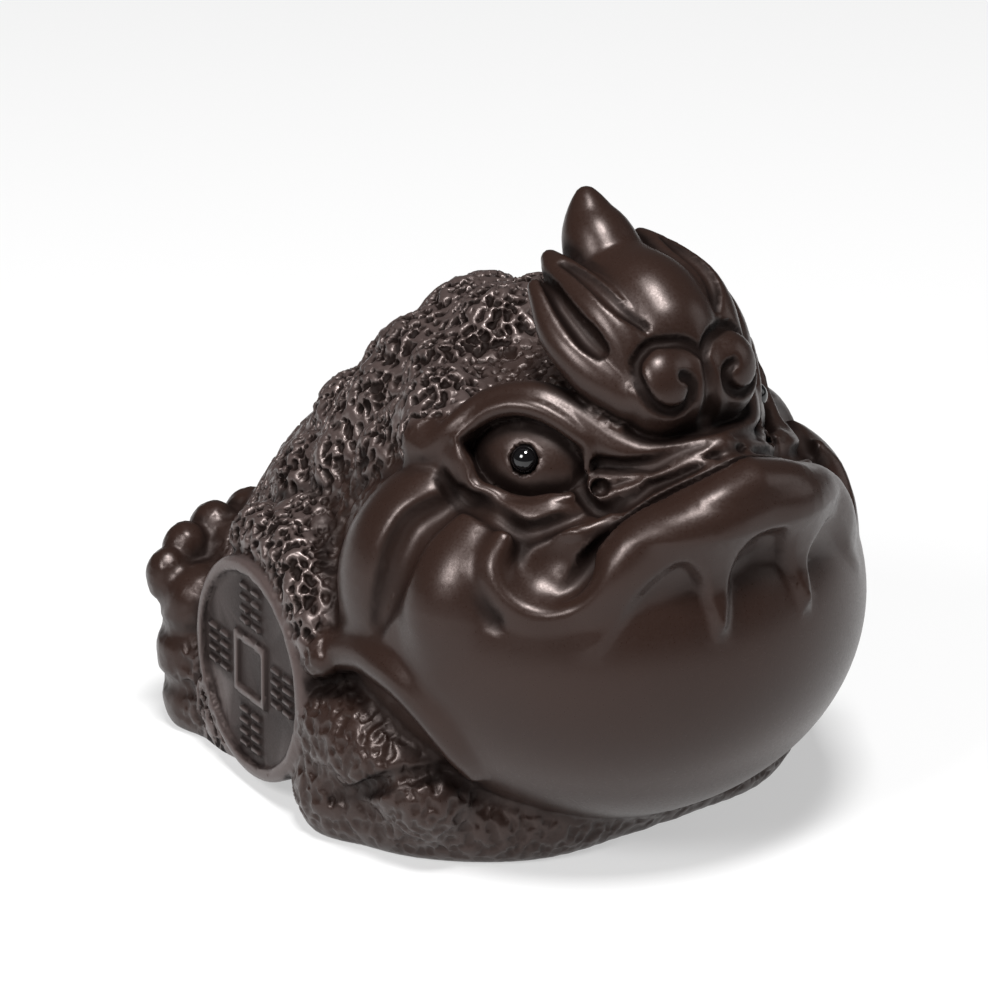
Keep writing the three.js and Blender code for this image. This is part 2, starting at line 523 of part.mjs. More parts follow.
// Joins the ends of the edges whose loss changes the shape least, until few enough triangles are left
function simplify({ points, faces }, target) {
  const quadric = points.map(() => new Float64Array(10));
  const star = points.map(() => new Set());
  const planeOf = ([a, b, c]) => {
    const [p, q, r] = [points[a], points[b], points[c]];
    const u = [q[0] - p[0], q[1] - p[1], q[2] - p[2]];
    const v = [r[0] - p[0], r[1] - p[1], r[2] - p[2]];
    const n = [u[1] * v[2] - u[2] * v[1], u[2] * v[0] - u[0] * v[2], u[0] * v[1] - u[1] * v[0]];
    const size = Math.hypot(...n) || 1e-12;
    return { n: n.map((c) => c / size), area: size / 2, p };
  };
  faces.forEach((face, f) => {
    const { n, area, p } = planeOf(face);
    const d = -(n[0] * p[0] + n[1] * p[1] + n[2] * p[2]);
    const plane = [n[0], n[1], n[2], d];
    for (const v of face) {
      star[v].add(f);
      let m = 0;
      for (let i = 0; i < 4; i++) for (let j = i; j < 4; j++) quadric[v][m++] += plane[i] * plane[j] * area;
    }
  });
  const errorAt = (q, [x, y, z]) =>
    q[0] * x * x + q[4] * y * y + q[7] * z * z + q[9] +
    2 * (q[1] * x * y + q[2] * x * z + q[5] * y * z + q[3] * x + q[6] * y + q[8] * z);
  const bestPoint = (q, a, b) => {
    const [A, B, C, D, E, F] = [q[0], q[1], q[2], q[4], q[5], q[7]];
    const det = A * (D * F - E * E) - B * (B * F - C * E) + C * (B * E - C * D);
    const middle = a.map((v, k) => (v + b[k]) / 2);
    if (Math.abs(det) < 1e-6 * (A + D + F) ** 3) return middle;
    const [r, s, t] = [-q[3], -q[6], -q[8]];
    const best = [
      (r * (D * F - E * E) - B * (s * F - E * t) + C * (s * E - D * t)) / det,
      (A * (s * F - E * t) - r * (B * F - C * E) + C * (B * t - C * s)) / det,
      (A * (D * t - E * s) - B * (B * t - C * s) + r * (B * E - C * D)) / det,
    ];
    const reach = Math.hypot(a[0] - b[0], a[1] - b[1], a[2] - b[2]);
    const away = Math.hypot(best[0] - middle[0], best[1] - middle[1], best[2] - middle[2]);
    return away > reach * 1.5 ? middle : best;
  };
  const stamp = new Int32Array(points.length);
  const heap = [];
  const push = (item) => {
    let i = heap.push(item) - 1;
    while (i > 0) {
      const up = (i - 1) >> 1;
      if (heap[up].cost <= heap[i].cost) break;
      [heap[up], heap[i]] = [heap[i], heap[up]];
      i = up;
    }
  };
  const pop = () => {
    const top = heap[0];
    const tail = heap.pop();
    if (heap.length) {
      heap[0] = tail;
      let i = 0;
      for (;;) {
        let c = 2 * i + 1;
        if (c >= heap.length) break;
        if (c + 1 < heap.length && heap[c + 1].cost < heap[c].cost) c++;
        if (heap[i].cost <= heap[c].cost) break;
        [heap[c], heap[i]] = [heap[i], heap[c]];
        i = c;
      }
    }
    return top;
  };
  const offer = (a, b) => {
    const q = quadric[a].map((v, k) => v + quadric[b][k]);
    const to = bestPoint(q, points[a], points[b]);
    const reach = Math.hypot(...points[a].map((v, k) => v - points[b][k]));
    push({ a, b, to, cost: Math.max(errorAt(q, to), 0) + 1e-5 * reach, stampA: stamp[a], stampB: stamp[b] });
  };
  const neighbours = (v) => new Set([...star[v]].flatMap((f) => faces[f]).filter((n) => n !== v));
  const turnsOver = (v, other, to) => [...star[v]].some((f) => {
    if (faces[f].includes(other)) return false;
    const before = planeOf(faces[f]).n;
    const kept = points[v];
    points[v] = to;
    const after = planeOf(faces[f]);
    points[v] = kept;
    return before[0] * after.n[0] + before[1] * after.n[1] + before[2] * after.n[2] < 0.2 || after.area < 1e-4;
  });
  faces.forEach(([a, b, c]) => {
    if (a < b) offer(a, b);
    if (b < c) offer(b, c);
    if (c < a) offer(c, a);
  });
  let left = faces.length;
  while (left > target && heap.length) {
    const { a, b, to, stampA, stampB } = pop();
    if (stamp[a] !== stampA || stamp[b] !== stampB || !star[a].size || !star[b].size) continue;
    const around = neighbours(b);
    const shared = [...neighbours(a)].filter((n) => around.has(n));
    if (shared.length !== 2 || turnsOver(a, b, to) || turnsOver(b, a, to)) continue;
    points[a] = to;
    quadric[b].forEach((v, k) => { quadric[a][k] += v; });
    for (const f of star[b]) {
      if (faces[f].includes(a)) {
        for (const v of faces[f]) if (v !== b) star[v].delete(f);
        faces[f] = null;
        left--;
      } else {
        faces[f] = faces[f].map((v) => (v === b ? a : v));
        star[a].add(f);
      }
    }
    star[b].clear();
    stamp[b]++;
    stamp[a]++;
    for (const n of neighbours(a)) offer(a, n);
  }
  const kept = faces.filter(Boolean);
  const place = new Map();
  for (const face of kept) for (const v of face) if (!place.has(v)) place.set(v, place.size);
  return { points: [...place.keys()].map((v) => points[v]), faces: kept.map((face) => face.map((v) => place.get(v))) };
}

const wasm = await Module();
wasm.setup();

function solidFromLists({ points, faces }) {
  return new wasm.Manifold(new wasm.Mesh({
    numProp: 3,
    vertProperties: new Float32Array(points.flat()),
    triVerts: new Uint32Array(faces.flat()),
  }));
}

function solidFrom(geometry, matrix) {
  const bare = geometry.clone();
  bare.deleteAttribute('normal');
  bare.deleteAttribute('uv');
  if (matrix) bare.applyMatrix4(matrix);
  const merged = mergeVertices(bare);
  return new wasm.Manifold(new wasm.Mesh({
    numProp: 3,
    vertProperties: new Float32Array(merged.attributes.position.array),
    triVerts: new Uint32Array(merged.index.array),
  }));
}

function geometryFrom(solid) {
  const mesh = solid.getMesh();
  const geometry = new THREE.BufferGeometry();
  geometry.setAttribute('position', new THREE.BufferAttribute(new Float32Array(mesh.vertProperties), 3));
  geometry.setIndex(new THREE.BufferAttribute(new Uint32Array(mesh.triVerts), 1));
  geometry.computeVertexNormals();
  return geometry;
}

// Sculpt, mesh and fit the skin to the stated length, width and height, standing on z = 0
for (const feature of [body, rump, cheeks, snout, drape, brow, eye, mouth, nostril, arms, crest, warts]) feature();
const ROOM = { side: 47, front: 64, back: 54, top: 91 };
const lowest = [-ROOM.side, -ROOM.front, -BELOW_GROUND - 2 * GRID];
const raw = simplify(meshOfSkin(lowest, [ROOM.side, ROOM.back, ROOM.top], GRID), SKIN_TRIANGLES);
const above = raw.points.filter((p) => p[2] >= 0);
const extreme = (k, pick) => pick(...above.map((p) => p[k]));
const drawn = {
  halfWidth: extreme(0, Math.max),
  front: extreme(1, Math.min),
  back: extreme(1, Math.max),
  top: extreme(2, Math.max),
};
const fit = new THREE.Vector3(WIDTH / 2 / drawn.halfWidth, LENGTH / (drawn.back - drawn.front), HEIGHT / drawn.top);
const middleY = (drawn.front + drawn.back) / 2;
const placed = ([x, y, z]) => new THREE.Vector3(x * fit.x, (y - middleY) * fit.y, z * fit.z);
let toad = solidFromLists({ points: raw.points.map((p) => placed(p).toArray()), faces: raw.faces });
const ground = new THREE.BoxGeometry(WIDTH * 2, LENGTH * 2, HEIGHT).translate(0, 0, -HEIGHT / 2);
toad = toad.subtract(solidFrom(ground));

// Frame whose local +Z points the given way out of the flank or the eye, for the side with the given sign
function frameAt(point, out, up, side) {
  const z = out.clone().normalize();
  const x = up.clone().cross(z).normalize();
  const y = z.clone().cross(x);
  const frame = new THREE.Matrix4().makeBasis(x, y, z).setPosition(point);
  return new THREE.Matrix4().makeScale(side, 1, 1).multiply(frame);
}

// A mirrored frame turns a geometry inside out, so its triangles are turned back
function placedSolid(geometry, frame) {
  const made = geometry.index ? geometry.toNonIndexed() : geometry.clone();
  if (frame.determinant() < 0) {
    const p = made.attributes.position;
    for (let i = 0; i < p.count; i += 3) {
      const swap = new THREE.Vector3().fromBufferAttribute(p, i + 1);
      p.setXYZ(i + 1, p.getX(i + 2), p.getY(i + 2), p.getZ(i + 2));
      p.setXYZ(i + 2, swap.x, swap.y, swap.z);
    }
  }
  return solidFrom(made, frame);
}

// Coin seal: a round disc with a raised rim, a square in the middle and four groups of short strokes
const COIN_POINT = [36, 8.4, 17.9];
const COIN_OUT = new THREE.Vector3(1, 0.115, 0.02);
const COIN_SEGMENTS = 40;
function coinDisc() {
  const radius = COIN_DIAMETER / 2;
  const field = radius - COIN_RIM_WIDTH;
  const r = COIN_RIM_ROUNDING;
  const profile = [
    [0, -COIN_ROOT], [radius, -COIN_ROOT], [radius, -r], [radius - r * 0.3, -r * 0.3], [radius - r, 0],
    [field + r * 0.5, 0], [field, -r * 0.4], [field - 0.3, -COIN_SINK], [0, -COIN_SINK],
  ];
  const points = profile.map(([x, y]) => new THREE.Vector2(x, y));
  const lathe = new THREE.LatheGeometry(points, COIN_SEGMENTS, Math.PI / COIN_SEGMENTS);
  return lathe.rotateX(Math.PI / 2);
}
function coinStrokes() {
  const bars = [];
  const bar = (x, y, width, height) => {
    const box = new THREE.BoxGeometry(width, height, STROKE_HEIGHT * 2);
    bars.push(box.translate(x, y, -COIN_SINK));
  };
  const half = SQUARE_SIDE / 2;
  const square = (side) => {
    const corners = [[-1, -1], [1, -1], [1, 1], [-1, 1]];
    return corners.map(([x, y]) => new THREE.Vector2((x * side) / 2, (y * side) / 2));
  };
  const outline = new THREE.Shape(square(SQUARE_SIDE + SQUARE_LINE));
  outline.holes.push(new THREE.Path(square(SQUARE_SIDE - SQUARE_LINE)));
  const frame = new THREE.ExtrudeGeometry(outline, { depth: STROKE_HEIGHT * 2, bevelEnabled: false });
  bars.push(frame.translate(0, 0, -COIN_SINK - STROKE_HEIGHT));
  const middle = (half + COIN_DIAMETER / 2 - COIN_RIM_WIDTH) / 2 + STROKE_INSET;
  for (const [cx, cy] of [[middle, 0], [-middle, 0], [0, middle], [0, -middle]]) {
    for (let row = 0; row < STROKE_ROWS; row++) {
      for (let column = 0; column < STROKE_COLUMNS; column++) {
        const x = cx + (column - (STROKE_COLUMNS - 1) / 2) * (STROKE_LENGTH + STROKE_GAP);
        const y = cy + (row - (STROKE_ROWS - 1) / 2) * STROKE_PITCH;
        bar(x, y, STROKE_LENGTH, STROKE_WIDTH);
      }
    }
  }
  return bars;
}
const UP = new THREE.Vector3(0, 0, 1);
for (const side of [-1, 1]) {
  const rimPlane = placed(COIN_POINT).addScaledVector(COIN_OUT.clone().normalize(), COIN_PROUD);
  const frame = frameAt(rimPlane, COIN_OUT, UP, side);
  const radius = (COIN_DIAMETER - COIN_RIM_WIDTH) / 2;
  const clear = new THREE.CylinderGeometry(radius, radius, COIN_ROOT * 2, COIN_SEGMENTS).rotateX(Math.PI / 2);
  toad = toad.subtract(placedSolid(clear.translate(0, 0, COIN_ROOT - COIN_SINK * 2), frame));
  toad = toad.add(placedSolid(coinDisc(), frame));
  for (const stroke of coinStrokes()) toad = toad.add(placedSolid(stroke, frame));
}

// Bore in each eyeball, and the bead that sits in it with glue room all round
const eyeCrown = new THREE.Vector3(...EYE_CENTRE).addScaledVector(EYE_OUT, EYEBALL.radii[2] - EYEBALL.sunk);
const beadRadius = BEAD_DIAMETER / 2;
const boreRadius = beadRadius + BEAD_GAP;
const boreDepth = BEAD_DIAMETER - BEAD_PROUD + BEAD_GAP;
const beads = [];
for (const side of [-1, 1]) {
  const frame = frameAt(placed(eyeCrown.toArray()), EYE_OUT, UP, side);
  const bore = new THREE.CylinderGeometry(boreRadius, boreRadius, boreDepth * 2, 24).rotateX(Math.PI / 2);
  toad = toad.subtract(placedSolid(bore, frame));
  const ballOfGlaze = new THREE.SphereGeometry(beadRadius, 18, 12).translate(0, 0, BEAD_PROUD - beadRadius);
  beads.push([side < 0 ? 'right_eye_bead' : 'left_eye_bead', geometryFrom(placedSolid(ballOfGlaze, frame))]);
}

const clay = new THREE.MeshStandardMaterial({ color: 0x352b28, roughness: 0.42, metalness: 0 });
const glaze = new THREE.MeshStandardMaterial({ color: 0x0d0c0d, roughness: 0.08, metalness: 0 });
const figure = new THREE.Group();
const toadMesh = new THREE.Mesh(geometryFrom(toad), clay);
toadMesh.name = 'toad_body';
figure.add(toadMesh);
for (const [name, geometry] of beads) {
  const bead = new THREE.Mesh(geometry, glaze);
  bead.name = name;
  figure.add(bead);
}

export default figure;
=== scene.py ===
import math
from functools import partial

import bmesh
import bpy
import numpy as np
from bpy.props import FloatProperty, IntProperty, PointerProperty, StringProperty
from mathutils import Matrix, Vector


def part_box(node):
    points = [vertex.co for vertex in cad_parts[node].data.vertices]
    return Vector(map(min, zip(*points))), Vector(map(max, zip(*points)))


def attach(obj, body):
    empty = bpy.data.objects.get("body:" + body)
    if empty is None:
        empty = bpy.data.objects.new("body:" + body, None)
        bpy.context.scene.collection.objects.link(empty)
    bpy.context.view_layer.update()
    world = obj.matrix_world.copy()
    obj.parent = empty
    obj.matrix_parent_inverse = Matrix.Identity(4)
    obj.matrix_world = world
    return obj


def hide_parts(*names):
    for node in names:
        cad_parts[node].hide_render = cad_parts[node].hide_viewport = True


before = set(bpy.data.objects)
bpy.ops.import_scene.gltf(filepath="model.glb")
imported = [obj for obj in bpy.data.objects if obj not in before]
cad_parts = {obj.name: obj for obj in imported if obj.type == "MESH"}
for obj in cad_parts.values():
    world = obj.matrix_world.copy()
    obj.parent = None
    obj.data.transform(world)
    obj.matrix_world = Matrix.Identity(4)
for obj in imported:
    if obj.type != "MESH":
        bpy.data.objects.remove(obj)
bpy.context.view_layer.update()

bl_info = {
    "name": "Money toad figure",
    "version": (1, 0, 0),
    "blender": (4, 5, 0),
    "location": "View3D > Sidebar > Toad",
    "description": "Sculpts the clay toad, its eye beads and the studio around it",
    "category": "Object",
}

MM = 0.001


# Sculpting kit. A form has a box and a signed distance in millimetres; the sculpture adds,
# carves, lifts or burnishes one form after another. Both sides are drawn as the +X side.

# What a smallest distance starts from, and the distance that empty space is given
FAR = 1e3
EMPTY = 60.0
# Steps that bring a point near the skin onto it
SKIN_STEPS = 6
# Share of a burnished patch's radii that is rubbed fully smooth
BURNISH_CORE = 0.6


class Form:
    """A shape with the box that it lies in."""

    def __init__(self, low, high, distance):
        self.low = np.array(low, float)
        self.high = np.array(high, float)
        self.distance = distance


def smooth_min(a, b, soft):
    """The smaller of two distances, rounded over where they are about the same."""
    h = np.maximum(soft - np.abs(a - b), 0.0) / soft
    return np.minimum(a, b) - h * h * soft * 0.25


def ramp(value, start, end):
    """0 at the start and 1 at the end, held outside them."""
    return np.clip((value - start) / (end - start), 0, 1)


def smooth_step(low, high, value):
    """The same ramp with soft ends."""
    t = ramp(value, low, high)
    return t * t * (3 - 2 * t)


def curve(rows, count):
    """A smooth curve through the rows, sampled at count places."""
    p = np.asarray(rows, float)
    ends = np.vstack([2 * p[0] - p[1], p, 2 * p[-1] - p[-2]])
    t = np.linspace(0, len(p) - 1, count)
    i = np.minimum(t.astype(int), len(p) - 2)
    f = (t - i)[:, None]
    a, b, c, d = ends[i], ends[i + 1], ends[i + 2], ends[i + 3]
    bend = (2 * a - 5 * b + 4 * c - d) * f**2
    twist = (3 * b - a - 3 * c + d) * f**3
    return 0.5 * (2 * b + (c - a) * f + bend + twist)


def unit(vector):
    v = np.array(vector, float)
    return v / np.linalg.norm(v)


def frame_of(out, side):
    """Three axes: along side, up, and out of the surface."""
    out = unit(out)
    side = np.array(side, float)
    side = unit(side - out * (side @ out))
    return np.array([side, np.cross(out, side), out])


def ball(centre, radii, axes=None):
    """An ellipsoid on its own three axes."""
    centre = np.array(centre, float)
    radii = np.array(radii, float)
    axes = np.eye(3) if axes is None else np.asarray(axes)
    reach = np.sqrt(((axes.T * radii) ** 2).sum(1))

    def distance(p):
        q = (p - centre) @ axes.T
        near = np.linalg.norm(q / radii, axis=1)
        slope = np.linalg.norm(q / radii**2, axis=1)
        return near * (near - 1) / np.maximum(slope, 1e-9)

    return Form(centre - reach, centre + reach, distance)


def roll(rows, count=20):
    """A roll of changing thickness through rows of x, y, z and radius."""
    path = curve(rows, max(count, len(rows)))
    xyz = path[:, :3]
    r = path[:, 3]

    def distance(p):
        best = np.full(len(p), FAR)
        for a, b, ra, rb in zip(xyz[:-1], xyz[1:], r[:-1], r[1:]):
            ab = b - a
            t = np.clip((p - a) @ ab / max(ab @ ab, 1e-9), 0, 1)
            gap = np.linalg.norm(p - a - t[:, None] * ab, axis=1) - (ra + (rb - ra) * t)
            best = np.minimum(best, gap)
        return best

    return Form((xyz - r[:, None]).min(0), (xyz + r[:, None]).max(0), distance)


class Sculpture:
    """Ordered forms. Soft is the width over which a form blends with what is there, and rough is
    how it leaves the hide: 0 is burnished, 1 is stippled and None is as it was."""

    def __init__(self):
        self.steps = []

    def add(self, form, soft=1.0, rough=0.0):
        self.steps.append(("add", form, soft, rough))

    def carve(self, form, soft=1.0, rough=None):
        self.steps.append(("carve", form, soft, rough))

    def lift(self, low, high, amount):
        self.steps.append(("lift", Form(low, high, amount), 0.0, None))

    def press(self, centre, radii, depth):
        """A soft dent, as a thumb leaves it."""
        centre = np.array(centre, float)
        radii = np.array(radii, float)

        def amount(p):
            away = (((p - centre) / radii) ** 2).sum(1)
            return -depth * np.clip(1 - away, 0, 1) ** 2

        self.lift(centre - radii, centre + radii, amount)

    def burnish(self, centre, radii):
        """Rubs the hide smooth, fading out to the edge of an ellipsoid."""
        centre = np.array(centre, float)
        radii = np.array(radii, float)

        def share(p):
            away = np.linalg.norm((p - centre) / radii, axis=1)
            return smooth_step(1.0, BURNISH_CORE, away)

        self.steps.append(("burnish", Form(centre - radii, centre + radii, share), 0.0, None))

    def field(self, points, margin=1.5, with_rough=False):
        """Signed distance to the skin, right within the margin, and how rough the hide is."""
        p = np.array(points, float)
        p[:, 0] = np.abs(p[:, 0])
        d = np.full(len(p), EMPTY)
        hide = np.zeros(len(p))
        for way, form, soft, rough in self.steps:
            reach = soft + margin
            near = np.all((p > form.low - reach) & (p < form.high + reach), axis=1)
            i = np.nonzero(near)[0]
            if not len(i):
                continue
            e = form.distance(p[i])
            if way == "lift":
                d[i] -= e
            elif way == "burnish":
                hide[i] *= 1 - e
            elif way == "add":
                share = np.clip(0.5 + 0.5 * (d[i] - e) / soft, 0, 1)
                hide[i] = hide[i] * (1 - share) + rough * share
                d[i] = smooth_min(d[i], e, soft)
            else:
                if rough is not None:
                    share = np.clip(0.5 - 0.5 * (d[i] + e) / soft, 0, 1)
                    hide[i] = hide[i] * (1 - share) + rough * share
                d[i] = -smooth_min(-d[i], e, soft)
        d = np.maximum(d, -p[:, 2])
        return (d, hide) if with_rough else d

    def normals(self, p, step=0.2):
        ways = np.eye(3) * step
        slope = np.stack([self.field(p + w) - self.field(p - w) for w in ways], 1)
        return slope / np.maximum(np.linalg.norm(slope, axis=1, keepdims=True), 1e-9)

    def on_skin(self, points, height=0.0):
        """Moves points to the skin, then out along its normals."""
        p = np.array(points, float)
        for _ in range(SKIN_STEPS):
            p -= self.normals(p) * self.field(p)[:, None]
        return p + self.normals(p) * np.reshape(height, (-1, 1))

    def along_skin(self, rows, offset):
        """Rows of x, y, z and radius, moved to an offset over the skin that depends on the radius."""
        rows = np.array(rows, float)
        r = rows[:, 3]
        return np.column_stack([self.on_skin(rows[:, :3], offset(r, r / r.max())), r])

    def ridge(self, rows, proud, soft=1.0, rough=0.0, count=24):
        """A raised roll on the skin, fading where the radius does."""
        rows = self.along_skin(rows, lambda r, share: proud * share - r)
        self.add(roll(rows, count), soft, rough)

    def groove(self, rows, depth, soft=0.6, count=24):
        """A groove in the skin, fading where the radius does."""
        rows = self.along_skin(rows, lambda r, share: r - depth * share)
        self.carve(roll(rows, count), soft)


# The toad's own forms, in millimetres


def back_and_head(s):
    # The hump of the back, and its slope down to the haunches
    s.add(ball((0, -3, 17.5), (30, 33.5, 51.5)), 1, 1)
    s.add(ball((0, 13.5, 19), (30.7, 30.6, 33.2)), 8, 1)
    s.add(ball((0, 20, 8), (37, 28, 26)), 8, 1)
    # The throat pouch, the face over it and the forehead
    s.add(ball((0, -22, 31), (37, 36, 30.5)), 6)
    s.add(ball((0, -21, 45), (26, 25, 16.5)), 6)
    s.add(ball((0, -27, 58), (18, 16.5, 8.8)), 5, 1)
    # The flank behind the cheek, and the shoulder up to the brow
    s.add(ball((25, 11, 18), (11, 17, 20)), 4, 1)
    s.add(ball((23.6, -1, 26), (13.5, 13.4, 12.4)), 4, 1)
    s.add(roll([(16, -12, 56, 8), (20, -18, 56, 7), (22, -23, 56, 5)]), 3, 1)
    # The hide swells up to the front and upper edge of the coin
    swell = [(31.5, 14.6, 35, 4.5), (33, 5.2, 35.8, 4.5), (34.6, -2, 32.8, 4.6), (35.6, -7.4, 27, 4.4)]
    s.add(roll(swell), 3, 1)


# The knuckles: centre and radius of each
KNUCKLES = ((33.8, 35.4, 22, 3.3), (29.6, 37, 24.2, 3.6), (23.8, 38.4, 25.2, 3.9), (17, 39, 25.2, 4.2))
# Heights of the creases across the folds of the rump
CREASE_HEIGHTS = (15.4, 7)


def rump(s):
    """Soft vertical folds under a row of four knuckles, creased across twice."""
    s.add(roll([(31, 31, 19, 5.5), (31, 31.5, 12, 6.5), (30.5, 31, 4, 6.5)]), 3, 0.1)
    s.add(roll([(23, 36, 22, 6), (23, 37, 12, 7.5), (22.5, 36, 4, 7.5)]), 3, 0.1)
    s.add(roll([(0, 38, 22, 8), (0, 39, 14, 9), (0, 38, 4, 9)]), 6, 0.1)
    for x, y, z, r in KNUCKLES:
        s.add(ball((x, y, z), (r, r, r + 1)), 1.2, 0.15)
    for z in CREASE_HEIGHTS:
        s.groove([(36, 36, z - 0.4, 1), (38, 31, z, 1.5), (36.5, 26, z + 0.5, 1)], 0.8, 1.5)


def cheeks(s):
    """Two full lobes on each cheek, with soft valleys behind, between and in front of them."""
    rear = [(23.5, -20, 50.5, 5.8), (27.5, -18.5, 46, 7.9), (29.7, -17, 40, 8.7), (30, -15, 32, 7.2)]
    front = [(22.5, -28.5, 48.5, 4.8), (26.2, -28.8, 44.5, 7), (28.7, -29, 39, 8.3), (29, -29.5, 31, 7.2)]
    s.add(roll(rear), 1.2)
    s.add(roll(front), 1.2)
    behind = [
        (28.2, -14, 54.6, 0.5), (26.4, -5.9, 49.7, 1.2), (27, -2.2, 45.9, 1.3),
        (28.8, -1.5, 42, 1.3), (30.6, -2.7, 38.5, 1.3), (32.3, -4.5, 35.1, 0.8),
    ]
    s.groove(behind, 0.9, 1.0)
    between = [
        (25.6, -27.5, 52, 0.8), (27, -26.4, 51.4, 1.4), (29.2, -24, 50, 2), (31.8, -23, 48.4, 2.4),
        (33.5, -22.5, 45.6, 2.5), (34.6, -22.2, 42.8, 2.3), (35.6, -21.6, 39, 1.7),
        (36.4, -21, 35, 0.9),
    ]
    s.groove(between, 1.9, 1.5)
    before = [
        (25.2, -37.6, 50.1, 1), (26.8, -37, 48.2, 1.5), (29, -37.2, 46, 1.8),
        (30.2, -38, 43.2, 1.9), (30.6, -39, 40.4, 0.9),
    ]
    s.groove(before, 1.7, 1.8)


# The upper lip: x, y, z and radius from the middle to its hook round the corner of the mouth
LIP = (
    (0, -52.8, 55.4, 4.4), (6, -52.9, 54.2, 3.9), (11, -51.4, 52.6, 3), (14.2, -49.3, 51.2, 2.7),
    (17.4, -48.2, 48, 2.7), (20, -46.8, 44.8, 2.8), (22.6, -44.4, 42.2, 2.9),
    (25.4, -41.2, 41.2, 3), (28, -38.2, 42.6, 2.8), (28.6, -36, 46, 2.3), (26.8, -35.4, 49.4, 1.5),
)
LIP_TOP = (
    (0, -49, 54.8, 4.4), (6, -48.8, 53.5, 4), (10.5, -47.8, 51.6, 3.6), (14, -47, 49, 3.2),
    (17, -46.5, 46.5, 3),
)
LIP_UNDER = (
    (0, -51.3, 51, 4), (6, -51, 49.5, 4), (11, -49.8, 48, 3.6), (15, -48.2, 46, 3.2),
    (19, -46, 42.6, 2.6),
)


def snout(s):
    """The muzzle, and the prow of the upper lip in front of it."""
    s.add(roll([(0, -43.5, 53.5, 6.5), (5, -42.5, 52.5, 6), (9, -40.5, 51, 5)]), 3)
    s.press((15, -41, 56), (8, 7, 8), 2.4)
    s.add(roll(LIP_TOP), 2)
    s.add(roll(LIP_UNDER), 3)
    s.add(roll(LIP, 40), 2)


# Lower edge of the lip's drape: compass angle from the front and height
DRAPE_EDGE = (
    (0, 50.8), (4, 50.2), (7, 47.5), (9, 43), (10.5, 39.8), (12, 38.6), (13.6, 40.5), (16, 45.5),
    (20, 48.3), (24, 47.8), (29, 45.3), (34, 41.2), (38, 38.2), (41, 37.2), (50, 37.2),
)
DRAPE_SAMPLES = 120
DRAPE_BOX = ((0, -75, 34), (40, -24, 60))
DRAPE_AXIS_Y = -22
DRAPE_BEVEL = 2.4
# Millimetres round the throat for one degree
DRAPE_ARC = 0.6
# The drape's thickness in front, how much less it is at the side, and between which angles
DRAPE_THICK = 1.5
DRAPE_THINNING = 0.7
DRAPE_THIN_ANGLES = (15, 33)
# Heights and angles between which the drape fades into the lip
DRAPE_FADE_HEIGHTS = (56, 52)
DRAPE_FADE_ANGLES = (44, 34)


def drape(s):
    """The lip hangs over the throat pouch like wet cloth, with a scalloped lower edge."""
    edge = curve(DRAPE_EDGE, DRAPE_SAMPLES)
    angle, height = edge[:, 0], edge[:, 1]
    slope = np.gradient(height, angle * DRAPE_ARC)

    def amount(p):
        a = np.degrees(np.arctan2(p[:, 0], DRAPE_AXIS_Y - p[:, 1]))
        lean = np.sqrt(1 + np.interp(a, angle, slope) ** 2)
        above = (p[:, 2] - np.interp(a, angle, height)) / lean / DRAPE_BEVEL
        thick = DRAPE_THICK - DRAPE_THINNING * ramp(a, *DRAPE_THIN_ANGLES)
        fade = ramp(p[:, 2], *DRAPE_FADE_HEIGHTS) * ramp(a, *DRAPE_FADE_ANGLES)
        return thick * fade * smooth_step(-0.5, 0.5, above)

    s.lift(*DRAPE_BOX, amount)


# The brow from its outer end to the bridge of the nose, and the crease along it: x, y, z and radius
BROW = (
    (27.2, -19.3, 57.2, 1), (24.6, -21.6, 60.2, 1.8), (20.2, -24, 63.2, 2.4),
    (16.4, -28.4, 64.2, 2.8), (13.6, -32.6, 62.8, 2.8), (11.9, -36.2, 60.8, 2.7),
    (10.3, -38.9, 59.4, 2.6), (8.4, -41.2, 58.6, 2.5), (6.2, -43.3, 58.3, 2.4),
    (3.6, -45.2, 58.7, 2.3), (0, -46.6, 59.4, 2.2),
)
BROW_CREASE = (
    (25, -24.3, 59.4, 0.6), (22, -25.1, 61.6, 0.9), (20.1, -27.6, 63, 1), (17.9, -30.6, 63, 1),
    (16.3, -32.8, 61.3, 0.9), (15.4, -37, 60.1, 0.8),
)


def brow(s):
    s.add(roll(BROW, 32), 1.0)
    s.groove(BROW_CREASE, 0.8, 0.5)


EYE_CENTRE = np.array((20.6, -31.2, 57.8))
EYE_AXES = frame_of((0.8, -0.5, 0.33), (-0.5, -0.84, -0.12))
EYE_WIDTH = 17.0
EYE_HEIGHT = 10.8
EYE_DEPTH = 5
EYEBALL_RADII = (10, 8, 7.6)
EYEBALL_SUNK = 7.8
# Share of its thickness that a lid loses toward the corners
LID_SHARE = 0.55
LID_POINTS = 9
BEAD_RADIUS = 1.9
BEAD_PROUD = 0.9
BEAD_SEAT_GAP = 0.1


def bead_centre():
    """The bead's centre in the sculpture's own place, before it is fitted to the frame."""
    crown = EYE_CENTRE + EYE_AXES[2] * (EYEBALL_RADII[2] - EYEBALL_SUNK)
    return crown + EYE_AXES[2] * (BEAD_PROUD - BEAD_RADIUS)


